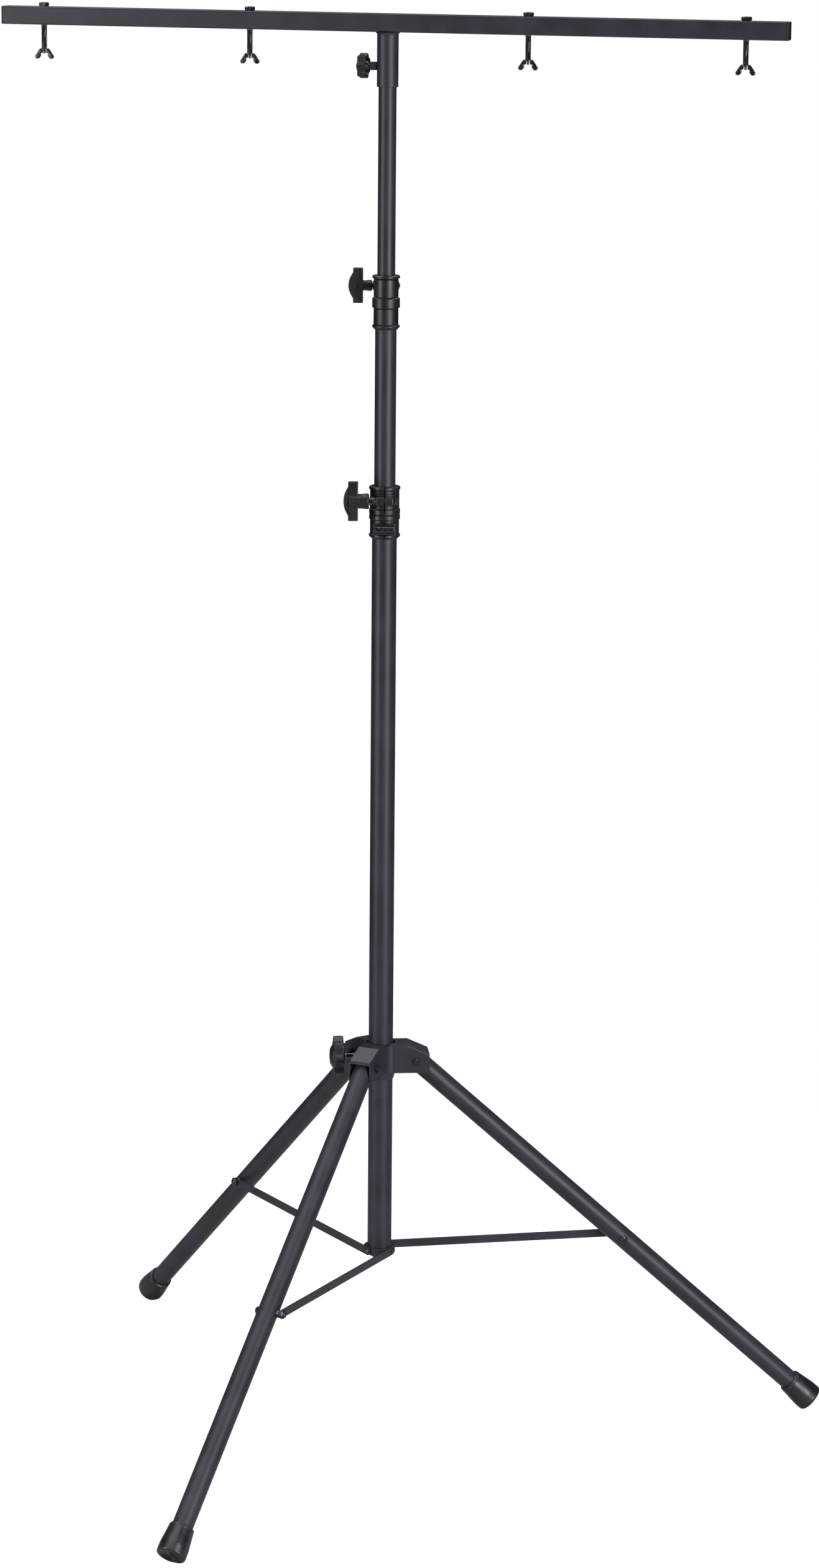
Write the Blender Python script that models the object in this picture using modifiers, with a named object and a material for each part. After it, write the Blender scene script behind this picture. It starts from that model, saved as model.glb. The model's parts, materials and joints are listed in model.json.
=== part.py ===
"""Telescopic tripod stand for stage lights, with a T-bar that carries four lamps.

Three steel tubes slide in one another. Two split clamps hold them at any height, a star
knob holds the T-bar's socket on the top tube, and another holds the tripod hub. The hub
slides up the base tube to fold the three legs, which flat struts tie to the tube's foot.

Units are metres and +Z is up. The parts stand on z = 0, the middle of the whole stand's
box is over the origin, and +X runs along the T-bar.
"""

import math

import bmesh
import bpy
from mathutils import Matrix, Vector

# ---------------------------------------------------------------- driving dimensions
CLEARANCE = 0.0003          # gap between two pieces that seat on or fill one another

# mast
BASE_TUBE_RADIUS = 0.0175
MAST_WALL = 0.0015
TELESCOPE_GAP = 0.0010      # radial play between one tube's bore and the next tube
BASE_TUBE_LENGTH = 1.0866
MID_TUBE_LENGTH = 1.100
TOP_TUBE_LENGTH = 1.120
TOP_TUBE_SINK = 0.0020      # top tube's end below the T-bar
MID_TUBE_SHOWN = 0.2205     # mid tube between the two clamps, as the stand is set up
TOP_TUBE_SHOWN = 0.2598     # top tube between the upper clamp and the T-bar's socket
GUIDE_HEIGHT = 0.010        # plastic guide below the end of a sliding tube
GUIDE_SPIGOT = 0.014        # its part inside that tube
GUIDE_WALL = 0.0025

# split clamps
CLAMP_SOCKET = 0.0320       # how far the outer tube enters its clamp
CLAMP_WALL = 0.0030
BUSH_WALL = 0.0015
LOWER_CLAMP_HEIGHT = 0.0742
UPPER_CLAMP_HEIGHT = 0.0753
LOWER_SCREW_HEIGHT = 0.0557  # clamp screw above the clamp's lower end
UPPER_SCREW_HEIGHT = 0.0586
CLAMP_TURN = math.radians(15.4)    # how far the clamps' screws are turned from the T-bar
CLAMP_SLIT = 0.0016
LUG_LENGTH = 0.0130         # each lug, along the screw
LUG_HEIGHT = 0.0120
LUG_DEPTH = 0.0110
CLAMP_SCREW_RADIUS = 0.0030
CLAMP_SCREW_OUT = 0.0045    # screw axis outside the clamp's body
CLAMP_NUT_ACROSS = 0.0100
CLAMP_NUT_HEIGHT = 0.0050
CLAMP_RIM = 0.0012          # how far the clamps' rims and ribs stand out
CLAMP_TOE = 0.0022          # chamfer at a clamp's lower end
SCREW_END = 0.0012          # screws and bolts past their nuts
STOP_PIN_HEIGHT = 0.0157    # fixed cross pin of the lower clamp
STOP_PIN_RADIUS = 0.0060
STOP_PIN_LENGTH = 0.0270
PIN_SEAT_RIM = 0.0026       # moulded frame past the pin's ends
PIN_SEAT_RISE = 0.0078      # moulded frame above and below the pin's axis
LOWER_KNOB_SPAN = 0.0548
UPPER_KNOB_SPAN = 0.0485
WING_KNOB_WIDTH = 0.0130
LOWER_KNOB_NECK = (0.0110, 0.0154)     # radius and length of the knob's neck
UPPER_KNOB_NECK = (0.0078, 0.0129)
KNOB_STANDOFF = 0.0011      # knob's neck outside the clamp's body
WING_KNOB_TIP = 0.0141      # wings along the screw, at their tips
WING_KNOB_CROWN = 0.0065    # bulge of the knob's middle past the tips
FERRULE_RADIUS = 0.0062     # ferrule on the screw between lug and knob

# tripod
FIRST_LEG_AZIMUTH = math.radians(19.74)
LEG_TILT = math.radians(41.9)      # legs below the horizontal
LEG_TUBE_RADIUS = 0.0147
LEG_WALL = 0.0015
LEG_REACH = 0.7970          # pivot to the sole of the foot
LEG_HEAD = 0.0080           # leg tube past its pivot
HUB_HEIGHT = 0.2921         # leg pivots above the base tube's lower end
HUB_ARM_REACH = 0.0284      # leg pivot outside the hub's drum
HUB_SHEET = 0.0018
HUB_BUSH_WALL = 0.0022
DRUM_WALL = 0.0015
LEG_SIDE_PLAY = 0.00085     # leg to the inside of its arm
HUB_CROWN = 0.0115          # top of the hub above a leg's side
HUB_SKIRT = 0.0103          # tapered skirt below the arms
HUB_KNOB_RISE = 0.0054      # hub knob's screw above the leg pivots
HUB_BOSS_RADIUS = 0.0078
HUB_BOSS_LENGTH = 0.0090
ARM_FLOOR = 0.0024          # bottom of the arms below a leg's side
ARM_PAST_LEG = 0.0049       # end of the arms past a leg's side
PIVOT_BOLT_RADIUS = 0.0030
PIVOT_HEAD_RADIUS = 0.0050
PIVOT_HEAD_HEIGHT = 0.0034
PIVOT_NUT_ACROSS = 0.0100
PIVOT_NUT_HEIGHT = 0.0040
FOOT_LENGTH = 0.0450
FOOT_SOLE = 0.0080
FOOT_SIDE = 0.0028          # rubber around the tube at the foot's rim
FOOT_FLARE = 0.0030         # growth of the foot's radius from rim to sole
FOOT_EDGE = 0.0060
STRUT_ON_LEG = 0.4120       # strut bolt from the leg pivot, along the leg
STRUT_PIN_RISE = 0.0045     # strut rivets above the base tube's lower end
STRUT_WIDTH = 0.0120
STRUT_THICKNESS = 0.0025
STRUT_COLLAR_RADIUS = 0.0055       # spacer between leg and strut
STRUT_HEAD_RADIUS = 0.0058
STRUT_HEAD_HEIGHT = 0.0040
STRUT_NUT_RADIUS = 0.0060
STRUT_NUT_HEIGHT = 0.0064
BRACKET_WALL = 0.00135
RIVET_RADIUS = 0.0024

# T-bar
BAR_LENGTH = 1.1160
BAR_SIDE = 0.0250
BAR_WALL = 0.0015
BAR_CORNER = 0.0020
BAR_CAP = 0.0025            # flange of the plastic end caps
CAP_SPIGOT = 0.0120
SOCKET_LENGTH = 0.0746
SOCKET_WALL = 0.0022
SOCKET_KNOB_DROP = 0.0468   # socket knob's screw below the T-bar
SOCKET_BOSS = 0.0092
SOCKET_BOSS_RADIUS = 0.0065
SOCKET_KNOB_OUT = 0.0046    # near face of the socket's knob past its boss
WELD_BEAD = 0.0016          # weld round the top of the socket
INNER_BOLT_X = 0.1990
OUTER_BOLT_X = 0.5014
BOLT_RADIUS = 0.0040
BOLT_DROP = 0.0355          # full shank below the T-bar
BOLT_HEAD_ACROSS = 0.0130
BOLT_HEAD_HEIGHT = 0.0053
BOLT_TIP_RADIUS = 0.0019
BOLT_TIP = 0.0048
WING_NUT_SPAN = 0.0284
WING_NUT_DEPTH = 0.0060
WING_NUT_RING = 0.0016      # height of its threaded ring

# star knobs, shared by the T-bar's socket and the hub
KNOB_SCREW_RADIUS = 0.0040
SOCKET_KNOB_RADIUS = 0.0176
SOCKET_KNOB_THICKNESS = 0.0116
SOCKET_KNOB_CROWN = 0.0024
HUB_KNOB_RADIUS = 0.0290
HUB_KNOB_THICKNESS = 0.0146
HUB_KNOB_CROWN = 0.0056
HUB_KNOB_OUT = 0.0542       # near face of the hub knob from the mast's axis
KNOB_LOBES = 7

# facets of round pieces
TUBE_STEPS = 24
ROUND_STEPS = 20
PIN_STEPS = 12

# ---------------------------------------------------------------- sizes that follow
MID_TUBE_RADIUS = BASE_TUBE_RADIUS - MAST_WALL - TELESCOPE_GAP
TOP_TUBE_RADIUS = MID_TUBE_RADIUS - MAST_WALL - TELESCOPE_GAP
SOCKET_BORE = TOP_TUBE_RADIUS + CLEARANCE
SOCKET_RADIUS = SOCKET_BORE + SOCKET_WALL

LOWER_CLAMP_Z = BASE_TUBE_LENGTH - CLAMP_SOCKET
MID_TUBE_Z = LOWER_CLAMP_Z + LOWER_CLAMP_HEIGHT + MID_TUBE_SHOWN
UPPER_CLAMP_Z = MID_TUBE_Z
SOCKET_Z = UPPER_CLAMP_Z + UPPER_CLAMP_HEIGHT + TOP_TUBE_SHOWN
BAR_Z = SOCKET_Z + SOCKET_LENGTH + CLEARANCE

HUB_BORE = BASE_TUBE_RADIUS + CLEARANCE
DRUM_BORE = HUB_BORE + HUB_BUSH_WALL + CLEARANCE
DRUM_RADIUS = DRUM_BORE + DRUM_WALL
LEG_PIVOT_RADIUS = DRUM_RADIUS + HUB_ARM_REACH
ARM_INSIDE = LEG_TUBE_RADIUS + LEG_SIDE_PLAY
ARM_OUTSIDE = ARM_INSIDE + HUB_SHEET
# neighbouring arms meet where their sides cross, so each starts just outside that corner
ARM_START = ARM_OUTSIDE / math.sqrt(3) + 0.0004
HOLLOW_START = ARM_INSIDE / math.sqrt(3) + 0.0004
ARM_TOP = LEG_TUBE_RADIUS + HUB_CROWN
ARM_BOTTOM = -(LEG_TUBE_RADIUS + ARM_FLOOR)
ARM_END = LEG_PIVOT_RADIUS + LEG_TUBE_RADIUS + ARM_PAST_LEG
ARM_BEND = LEG_PIVOT_RADIUS - 0.0112
ARM_SLOPE = -0.45

BRACKET_BORE = BASE_TUBE_RADIUS + CLEARANCE
BRACKET_FLAT = BRACKET_BORE + BRACKET_WALL
STRUT_INNER_FACE = BRACKET_FLAT + CLEARANCE
STRUT_MIDDLE = STRUT_INNER_FACE + STRUT_THICKNESS / 2

LEG_NAMES = ("right", "rear", "front")
BAR_BOLT_X = (-OUTER_BOLT_X, -INNER_BOLT_X, INNER_BOLT_X, OUTER_BOLT_X)

X_AXIS = Vector((1, 0, 0))
Y_AXIS = Vector((0, 1, 0))
Z_AXIS = Vector((0, 0, 1))


# ---------------------------------------------------------------- scene and materials
def clear_scene():
    for obj in list(bpy.data.objects):
        bpy.data.objects.remove(obj, do_unlink=True)


def new_collection(name):
    collection = bpy.data.collections.new(name)
    bpy.context.scene.collection.children.link(collection)
    return collection


def principled(name, color, roughness, metallic=0.0):
    material = bpy.data.materials.new(name)
    material.use_nodes = True
    shader = material.node_tree.nodes["Principled BSDF"]
    shader.inputs["Base Color"].default_value = (*color, 1.0)
    shader.inputs["Roughness"].default_value = roughness
    shader.inputs["Metallic"].default_value = metallic
    return material


class Shop:
    """The collections and the finishes that every piece is made from."""

    def __init__(self):
        self.parts = new_collection("lighting_stand")
        self.cutters = new_collection("lighting_stand_cutters")
        self.paint = principled("black_powder_coat", (0.040, 0.038, 0.045), 0.55)
        self.plastic = principled("black_plastic", (0.018, 0.016, 0.018), 0.50)
        self.rubber = principled("black_rubber", (0.022, 0.021, 0.024), 0.65)
        self.black_steel = principled("black_steel", (0.025, 0.023, 0.028), 0.40, 0.60)
        self.zinc = principled("zinc_steel", (0.520, 0.530, 0.560), 0.32, 1.0)
        self.nylon = principled("nylon", (0.030, 0.030, 0.032), 0.45)


# ---------------------------------------------------------------- frames
def frame_at(origin, z_axis, y_axis):
    """A frame at origin with the given Z axis and, square to it, the given Y axis."""
    z = Vector(z_axis).normalized()
    y = Vector(y_axis).normalized()
    matrix = Matrix((y.cross(z), y, z)).transposed().to_4x4()
    matrix.translation = origin
    return matrix


def empty(shop, name, parent, matrix):
    obj = bpy.data.objects.new(name, None)
    obj.empty_display_size = 0.02
    shop.parts.objects.link(obj)
    obj.parent = parent
    obj.matrix_local = matrix
    return obj


def raised(height):
    return Matrix.Translation((0, 0, height))


# ---------------------------------------------------------------- shapes
def add_piece(shop, name, mesh, parent, material, matrix=None):
    obj = bpy.data.objects.new(name, mesh)
    shop.parts.objects.link(obj)
    obj.parent = parent
    obj.matrix_local = matrix or Matrix.Identity(4)
    mesh.materials.clear()
    mesh.materials.append(material)
    return obj


def add_tool(shop, name, mesh, parent, matrix=None):
    """A solid that is cut from a piece or joined to it, and isn't a piece itself."""
    obj = bpy.data.objects.new(name, mesh)
    shop.cutters.objects.link(obj)
    obj.parent = parent
    obj.matrix_local = matrix or Matrix.Identity(4)
    obj.hide_render = True
    obj.display_type = "WIRE"
    return obj


def boolean(obj, tool, operation):
    modifier = obj.modifiers.new(tool.name, "BOOLEAN")
    modifier.object = tool
    modifier.operation = operation
    modifier.solver = "EXACT"


def cut(obj, tool):
    boolean(obj, tool, "DIFFERENCE")


def join(obj, tool):
    boolean(obj, tool, "UNION")


def profile_mesh(name, profile, closed):
    """The half section of a turned shape, as edges in the XZ plane."""
    mesh = bpy.data.meshes.new(name)
    edges = [(i, i + 1) for i in range(len(profile) - 1)]
    if closed:
        edges.append((len(profile) - 1, 0))
    mesh.from_pydata([(radius, 0, z) for radius, z in profile], edges, [])
    return mesh


def turn(obj, steps):
    screw = obj.modifiers.new("turned", "SCREW")
    screw.axis = "Z"
    screw.angle = 2 * math.pi
    screw.steps = steps
    screw.render_steps = steps
    screw.use_merge_vertices = True
    screw.merge_threshold = 0.00001
    screw.use_smooth_shade = True
    return obj


def turned(shop, name, profile, parent, material, matrix=None, closed=True, steps=ROUND_STEPS):
    mesh = profile_mesh(name, profile, closed)
    return turn(add_piece(shop, name, mesh, parent, material, matrix), steps)


def turned_tool(shop, name, profile, parent, matrix=None, closed=True, steps=ROUND_STEPS):
    mesh = profile_mesh(name, profile, closed)
    return turn(add_tool(shop, name, mesh, parent, matrix), steps)


def ring_profile(outer, inner, low, high):
    return [(outer, high), (outer, low), (inner, low), (inner, high)]


def cylinder_mesh(name, radius, low, high, steps=PIN_STEPS):
    mesh = bpy.data.meshes.new(name)
    bm = bmesh.new()
    bmesh.ops.create_cone(
        bm, cap_ends=True, segments=steps, radius1=radius, radius2=radius, depth=high - low,
        matrix=Matrix.Translation((0, 0, (low + high) / 2)))
    bm.to_mesh(mesh)
    bm.free()
    mesh.shade_smooth()
    mesh.set_sharp_from_angle(angle=math.radians(35))
    return mesh


def block_mesh(name, low, high, bevel=0.0):
    """A box between two corners, with its edges rounded by bevel."""
    mesh = bpy.data.meshes.new(name)
    low, high = Vector(low), Vector(high)
    size = Matrix.Diagonal((*(high - low), 1.0))
    bm = bmesh.new()
    bmesh.ops.create_cube(bm, size=1.0, matrix=Matrix.Translation((low + high) / 2) @ size)
    if bevel:
        bmesh.ops.bevel(bm, geom=bm.edges[:], offset=bevel, segments=2, profile=0.5,
                        affect="EDGES")
    bm.to_mesh(mesh)
    bm.free()
    return mesh


def extruded_mesh(name, outlines, thickness, matrix=None):
    """Flat outlines in the XY plane, filled and made thickness deep about that plane.

    The first outline is the edge and any others are holes. matrix turns the result."""
    curve = bpy.data.curves.new(name, "CURVE")
    curve.dimensions = "2D"
    curve.fill_mode = "BOTH"
    curve.extrude = thickness / 2
    for outline in outlines:
        spline = curve.splines.new("POLY")
        spline.points.add(len(outline) - 1)
        for point, (x, y) in zip(spline.points, outline):
            point.co = (x, y, 0, 1)
        spline.use_cyclic_u = True
    holder = bpy.data.objects.new(name, curve)
    bpy.context.scene.collection.objects.link(holder)
    bpy.context.view_layer.update()
    evaluated = holder.evaluated_get(bpy.context.evaluated_depsgraph_get())
    mesh = bpy.data.meshes.new_from_object(evaluated)
    bpy.data.objects.remove(holder, do_unlink=True)
    bm = bmesh.new()
    bm.from_mesh(mesh)
    bmesh.ops.remove_doubles(bm, verts=bm.verts, dist=0.00001)
    bmesh.ops.recalc_face_normals(bm, faces=bm.faces)
    if matrix:
        bm.transform(matrix)
    bm.to_mesh(mesh)
    bm.free()
    return mesh


def arc(center, radius, start, end, steps):
    """Points on an arc, angles in degrees, both ends included."""
    points = []
    for i in range(steps + 1):
        angle = math.radians(start + (end - start) * i / steps)
        points.append((center[0] + radius * math.cos(angle),
                       center[1] + radius * math.sin(angle)))
    return points


def circle(radius):
    return arc((0, 0), radius, 0, 360 * (PIN_STEPS - 1) / PIN_STEPS, PIN_STEPS - 1)


def rounded_square(side, corner, steps=3):
    half = side / 2 - corner
    points = []
    for x, y, start in ((half, half, 0), (-half, half, 90), (-half, -half, 180),
                        (half, -half, 270)):
        points += arc((x, y), corner, start, start + 90, steps)
    return points


def hexagon(across):
    corner = across / 2 / math.cos(math.radians(30))
    return arc((0, 0), corner, 0, 300, 5)


# turns an outline drawn in the XY plane to stand in the XZ or the YZ plane
STAND_XZ = Matrix.Rotation(math.pi / 2, 4, "X")
STAND_YZ = Matrix.Rotation(math.pi / 2, 4, "Z") @ Matrix.Rotation(math.pi / 2, 4, "X")


# ---------------------------------------------------------------- knobs
def star_outline(radius, lobes):
    """A knob's rim: lobes with shallow finger hollows between them."""
    points = []
    steps = lobes * 6
    for i in range(steps):
        angle = 2 * math.pi * i / steps
        wave = math.cos(lobes * angle)
        points.append((radius * (0.91 + 0.09 * wave) * math.cos(angle),
                       radius * (0.91 + 0.09 * wave) * math.sin(angle)))
    return points


def star_knob(shop, prefix, parent, radius, thickness, near, screw_tip, crown):
    """A star knob whose axis is the parent's Z, with its screw.

    near is the knob's face towards the stand, and screw_tip the end of its screw."""
    rim = extruded_mesh(prefix + "_knob", [star_outline(radius, KNOB_LOBES)], thickness)
    rim.transform(raised(near + thickness / 2))
    knob = add_piece(shop, prefix + "_knob", rim, parent, shop.plastic)
    far = near + thickness
    hub = [(0, far + crown), (radius * 0.36, far + crown * 0.85), (radius * 0.56, far + crown * 0.4),
           (radius * 0.64, far - 0.001), (radius * 0.30, near + 0.001),
           (radius * 0.30, near - 0.002), (0, near - 0.002)]
    join(knob, turned_tool(shop, prefix + "_knob_crown", hub, parent, closed=False))
    depth = near + thickness * 0.7
    bore = cylinder_mesh(prefix + "_knob_bore", KNOB_SCREW_RADIUS + CLEARANCE, near - 0.004, depth)
    cut(knob, add_tool(shop, prefix + "_knob_bore", bore, parent))
    tip_radius = KNOB_SCREW_RADIUS - 0.001
    screw = [(0, depth - CLEARANCE), (KNOB_SCREW_RADIUS, depth - CLEARANCE),
             (KNOB_SCREW_RADIUS, screw_tip + 0.001), (tip_radius, screw_tip), (0, screw_tip)]
    turned(shop, prefix + "_knob_screw", screw, parent, shop.zinc, closed=False, steps=PIN_STEPS)


def wing_knob(shop, name, parent, span, neck, near):
    """A two-winged knob whose axis is the parent's Z and whose wings lie along Y.

    neck is its radius and its length up to the wings, and near its end at the clamp."""
    neck_radius, neck_length = neck
    base = near + neck_length
    tip = base + WING_KNOB_TIP
    half = span / 2
    shoulder = half * 0.72
    outline = [(-half, base), (half, base), (half, tip), (shoulder, tip)]
    for i in range(1, 8):
        y = shoulder * (1 - i / 4)
        outline.append((y, tip + WING_KNOB_CROWN * (1 - (y / shoulder) ** 2)))
    outline += [(-shoulder, tip), (-half, tip)]
    body = extruded_mesh(name, [outline], WING_KNOB_WIDTH, STAND_YZ)
    knob = add_piece(shop, name, body, parent, shop.plastic)
    collar = [(0, tip - 0.001), (neck_radius, tip - 0.003), (neck_radius, near + 0.002),
              (neck_radius - 0.0015, near), (0, near)]
    join(knob, turned_tool(shop, name + "_neck", collar, parent, closed=False))
    depth = base + WING_KNOB_TIP * 0.6
    bore = cylinder_mesh(name + "_bore", CLAMP_SCREW_RADIUS + CLEARANCE, near - 0.002, depth)
    cut(knob, add_tool(shop, name + "_bore", bore, parent))
    return depth - CLEARANCE


# ---------------------------------------------------------------- split clamps
def clamp_profile(bore_low, bore_high, height, bands):
    """Half section of a clamp: bands outside, and the two bores inside."""
    inside = [(bore_low, 0), (bore_low, CLAMP_SOCKET + CLEARANCE),
              (bore_high, CLAMP_SOCKET + CLEARANCE), (bore_high, height)]
    return bands + inside


def split_clamp(shop, prefix, body, tube_radius, inner_radius, height, bands, screw_height,
                lug_turn, knob_side, knob_span, knob_neck):
    """A clamp on the outer tube's end that closes on the inner tube.

    body is the frame at the clamp's lower end. The lugs face lug_turn from -Y, and the
    knob sits on the knob_side (+1 or -1) of the frame's X axis, seen from the lugs."""
    bush_radius = inner_radius + CLEARANCE + BUSH_WALL
    bore_high = bush_radius + CLEARANCE
    body_radius = tube_radius + CLEARANCE + CLAMP_WALL
    lug_frame = empty(shop, prefix + "_clamp_lugs", body, Matrix.Rotation(lug_turn, 4, "Z"))
    shell = clamp_profile(tube_radius + CLEARANCE, bore_high, height, bands(body_radius))
    clamp = turned(shop, prefix + "_clamp", shell, body, shop.plastic, steps=TUBE_STEPS)

    axis_y = -(body_radius + CLAMP_SCREW_OUT)
    lug_low = (-LUG_LENGTH, axis_y - LUG_DEPTH / 2, screw_height - LUG_HEIGHT / 2)
    lug_high = (LUG_LENGTH, -(bore_high + 0.0008), screw_height + LUG_HEIGHT / 2)
    lugs = block_mesh(prefix + "_lugs", lug_low, lug_high)
    join(clamp, add_tool(shop, prefix + "_lugs", lugs, lug_frame))
    slit_low = (-CLAMP_SLIT / 2, axis_y - LUG_DEPTH, CLAMP_SOCKET + 0.004)
    slit = block_mesh(prefix + "_slit", slit_low, (CLAMP_SLIT / 2, -bore_high / 2, height + 0.002))
    cut(clamp, add_tool(shop, prefix + "_slit", slit, lug_frame))

    outward = X_AXIS * knob_side
    screw_frame = frame_at((0, axis_y, screw_height), outward, Z_AXIS)
    reach = LUG_LENGTH + 0.006
    hole = cylinder_mesh(prefix + "_screw_hole", CLAMP_SCREW_RADIUS + CLEARANCE, -reach, reach)
    cut(clamp, add_tool(shop, prefix + "_screw_hole", hole, lug_frame, screw_frame))

    bush = ring_profile(bush_radius, inner_radius + CLEARANCE, CLAMP_SOCKET + 2 * CLEARANCE, height)
    turned(shop, prefix + "_clamp_bush", bush, body, shop.nylon, steps=TUBE_STEPS)

    knob_frame = empty(shop, prefix + "_knob_axis", lug_frame, screw_frame)
    near = body_radius + KNOB_STANDOFF
    screw_end = wing_knob(shop, prefix + "_knob", knob_frame, knob_span, knob_neck, near)
    nut_far = -(LUG_LENGTH + CLEARANCE + CLAMP_NUT_HEIGHT)
    lug_end = LUG_LENGTH + CLEARANCE
    screw = [(0, screw_end), (CLAMP_SCREW_RADIUS, screw_end), (CLAMP_SCREW_RADIUS, near - CLEARANCE),
             (FERRULE_RADIUS, near - CLEARANCE), (FERRULE_RADIUS, lug_end),
             (CLAMP_SCREW_RADIUS, lug_end), (CLAMP_SCREW_RADIUS, nut_far - SCREW_END),
             (0, nut_far - SCREW_END)]
    turned(shop, prefix + "_knob_screw", screw, knob_frame, shop.black_steel, closed=False,
           steps=PIN_STEPS)
    nut_hole = circle(CLAMP_SCREW_RADIUS + CLEARANCE)
    nut = extruded_mesh(prefix + "_clamp_nut", [hexagon(CLAMP_NUT_ACROSS), nut_hole],
                        CLAMP_NUT_HEIGHT)
    nut.transform(raised(nut_far + CLAMP_NUT_HEIGHT / 2))
    add_piece(shop, prefix + "_clamp_nut", nut, lug_frame, shop.black_steel, screw_frame)
    return clamp, lug_frame, body_radius


def lower_bands(body_radius):
    """Outside of the lower clamp, top to bottom: rim, body, two ribs, body and foot ring."""
    top = LOWER_CLAMP_HEIGHT
    rim = body_radius + CLAMP_RIM
    rib = rim - 0.0002
    groove = body_radius - 0.0006
    return [(body_radius - 0.0010, top), (rim, top - 0.0008), (rim, top - 0.0056),
            (body_radius, top - 0.0066), (body_radius, 0.0426), (rib, 0.0418), (rib, 0.0350),
            (groove, 0.0344), (groove, 0.0336), (rib, 0.0330), (rib, 0.0274),
            (body_radius, 0.0266), (body_radius, 0.0070), (rim, 0.0062), (rim, 0.0026),
            (body_radius - CLAMP_TOE, 0)]


def upper_bands(body_radius):
    """Outside of the upper clamp, top to bottom: rim, body, wide band, body and foot ring."""
    top = UPPER_CLAMP_HEIGHT
    rim = body_radius + CLAMP_RIM
    waist = body_radius - 0.0008
    return [(rim - 0.0008, top), (rim, top - 0.0007), (rim, top - 0.0039), (waist, top - 0.0051),
            (waist, 0.0450), (rim, 0.0438), (rim, 0.0302), (waist, 0.0290), (waist, 0.0066),
            (rim, 0.0058), (rim, 0.0036), (body_radius - CLAMP_TOE, 0)]


# ---------------------------------------------------------------- mast
def base_group(shop, mast):
    """Base tube, the bracket at its foot and the lower clamp at its head."""
    tube = ring_profile(BASE_TUBE_RADIUS, BASE_TUBE_RADIUS - MAST_WALL, 0, BASE_TUBE_LENGTH)
    turned(shop, "base_tube", tube, mast, shop.paint, steps=TUBE_STEPS)
    strut_bracket(shop, mast)

    body = empty(shop, "lower_clamp_frame", mast,
                 raised(LOWER_CLAMP_Z) @ Matrix.Rotation(CLAMP_TURN, 4, "Z"))
    clamp, lug_frame, body_radius = split_clamp(
        shop, "lower", body, BASE_TUBE_RADIUS, MID_TUBE_RADIUS, LOWER_CLAMP_HEIGHT, lower_bands,
        LOWER_SCREW_HEIGHT, 0.0, -1, LOWER_KNOB_SPAN, LOWER_KNOB_NECK)
    pin_y = -(body_radius + STOP_PIN_RADIUS - 0.0010)
    recess_half = STOP_PIN_LENGTH / 2 + PIN_SEAT_RIM
    seat_low = (-recess_half, pin_y - STOP_PIN_RADIUS * 0.6, STOP_PIN_HEIGHT - PIN_SEAT_RISE)
    seat_high = (recess_half, -(BASE_TUBE_RADIUS + 0.0012), STOP_PIN_HEIGHT + PIN_SEAT_RISE)
    seat = block_mesh("stop_pin_seat", seat_low, seat_high)
    join(clamp, add_tool(shop, "stop_pin_seat", seat, lug_frame))
    pin_frame = frame_at((0, pin_y, STOP_PIN_HEIGHT), X_AXIS, Z_AXIS)
    half = STOP_PIN_LENGTH / 2
    groove = cylinder_mesh("stop_pin_groove", STOP_PIN_RADIUS + CLEARANCE, -half - CLEARANCE,
                           half + CLEARANCE)
    cut(clamp, add_tool(shop, "stop_pin_groove", groove, lug_frame, pin_frame))
    pin = cylinder_mesh("stop_pin", STOP_PIN_RADIUS, -half, half)
    add_piece(shop, "stop_pin", pin, lug_frame, shop.black_steel, pin_frame)


def strut_bracket(shop, mast):
    """A cup under the base tube with a flat for each strut."""
    flats = []
    cut_radius = BRACKET_FLAT * 1.20
    sweep = math.degrees(math.acos(BRACKET_FLAT / cut_radius))
    for i in range(3):
        middle = math.degrees(FIRST_LEG_AZIMUTH) + 90 + 120 * i
        flats += arc((0, 0), cut_radius, middle + sweep, middle + 120 - sweep, 5)
    low = -0.0015
    high = STRUT_PIN_RISE + STRUT_WIDTH / 2
    cup = extruded_mesh("strut_bracket", [flats], high - low)
    cup.transform(raised((high + low) / 2))
    bracket = add_piece(shop, "strut_bracket", cup, mast, shop.paint)
    bore = cylinder_mesh("bracket_bore", BRACKET_BORE, -CLEARANCE, high + 0.01, TUBE_STEPS)
    cut(bracket, add_tool(shop, "bracket_bore", bore, mast))
    for i, name in enumerate(LEG_NAMES):
        azimuth = FIRST_LEG_AZIMUTH + i * 2 * math.pi / 3
        side = Vector((-math.sin(azimuth), math.cos(azimuth), 0))
        pin = frame_at((0, 0, STRUT_PIN_RISE), side, Z_AXIS)
        hole = cylinder_mesh("rivet_hole_" + name, RIVET_RADIUS + CLEARANCE,
                             BRACKET_BORE - 0.001, BRACKET_FLAT + 0.003)
        cut(bracket, add_tool(shop, "rivet_hole_" + name, hole, mast, pin))
        outer = STRUT_INNER_FACE + STRUT_THICKNESS + CLEARANCE
        rivet = [(0, outer + 0.0020), (0.0026, outer + 0.0017), (0.0043, outer + 0.0006),
                 (0.0045, outer), (RIVET_RADIUS, outer), (RIVET_RADIUS, BRACKET_BORE + 0.0002),
                 (0, BRACKET_BORE + 0.0002)]
        turned(shop, "strut_rivet_" + name, rivet, mast, shop.black_steel, pin, closed=False,
               steps=PIN_STEPS)


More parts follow.
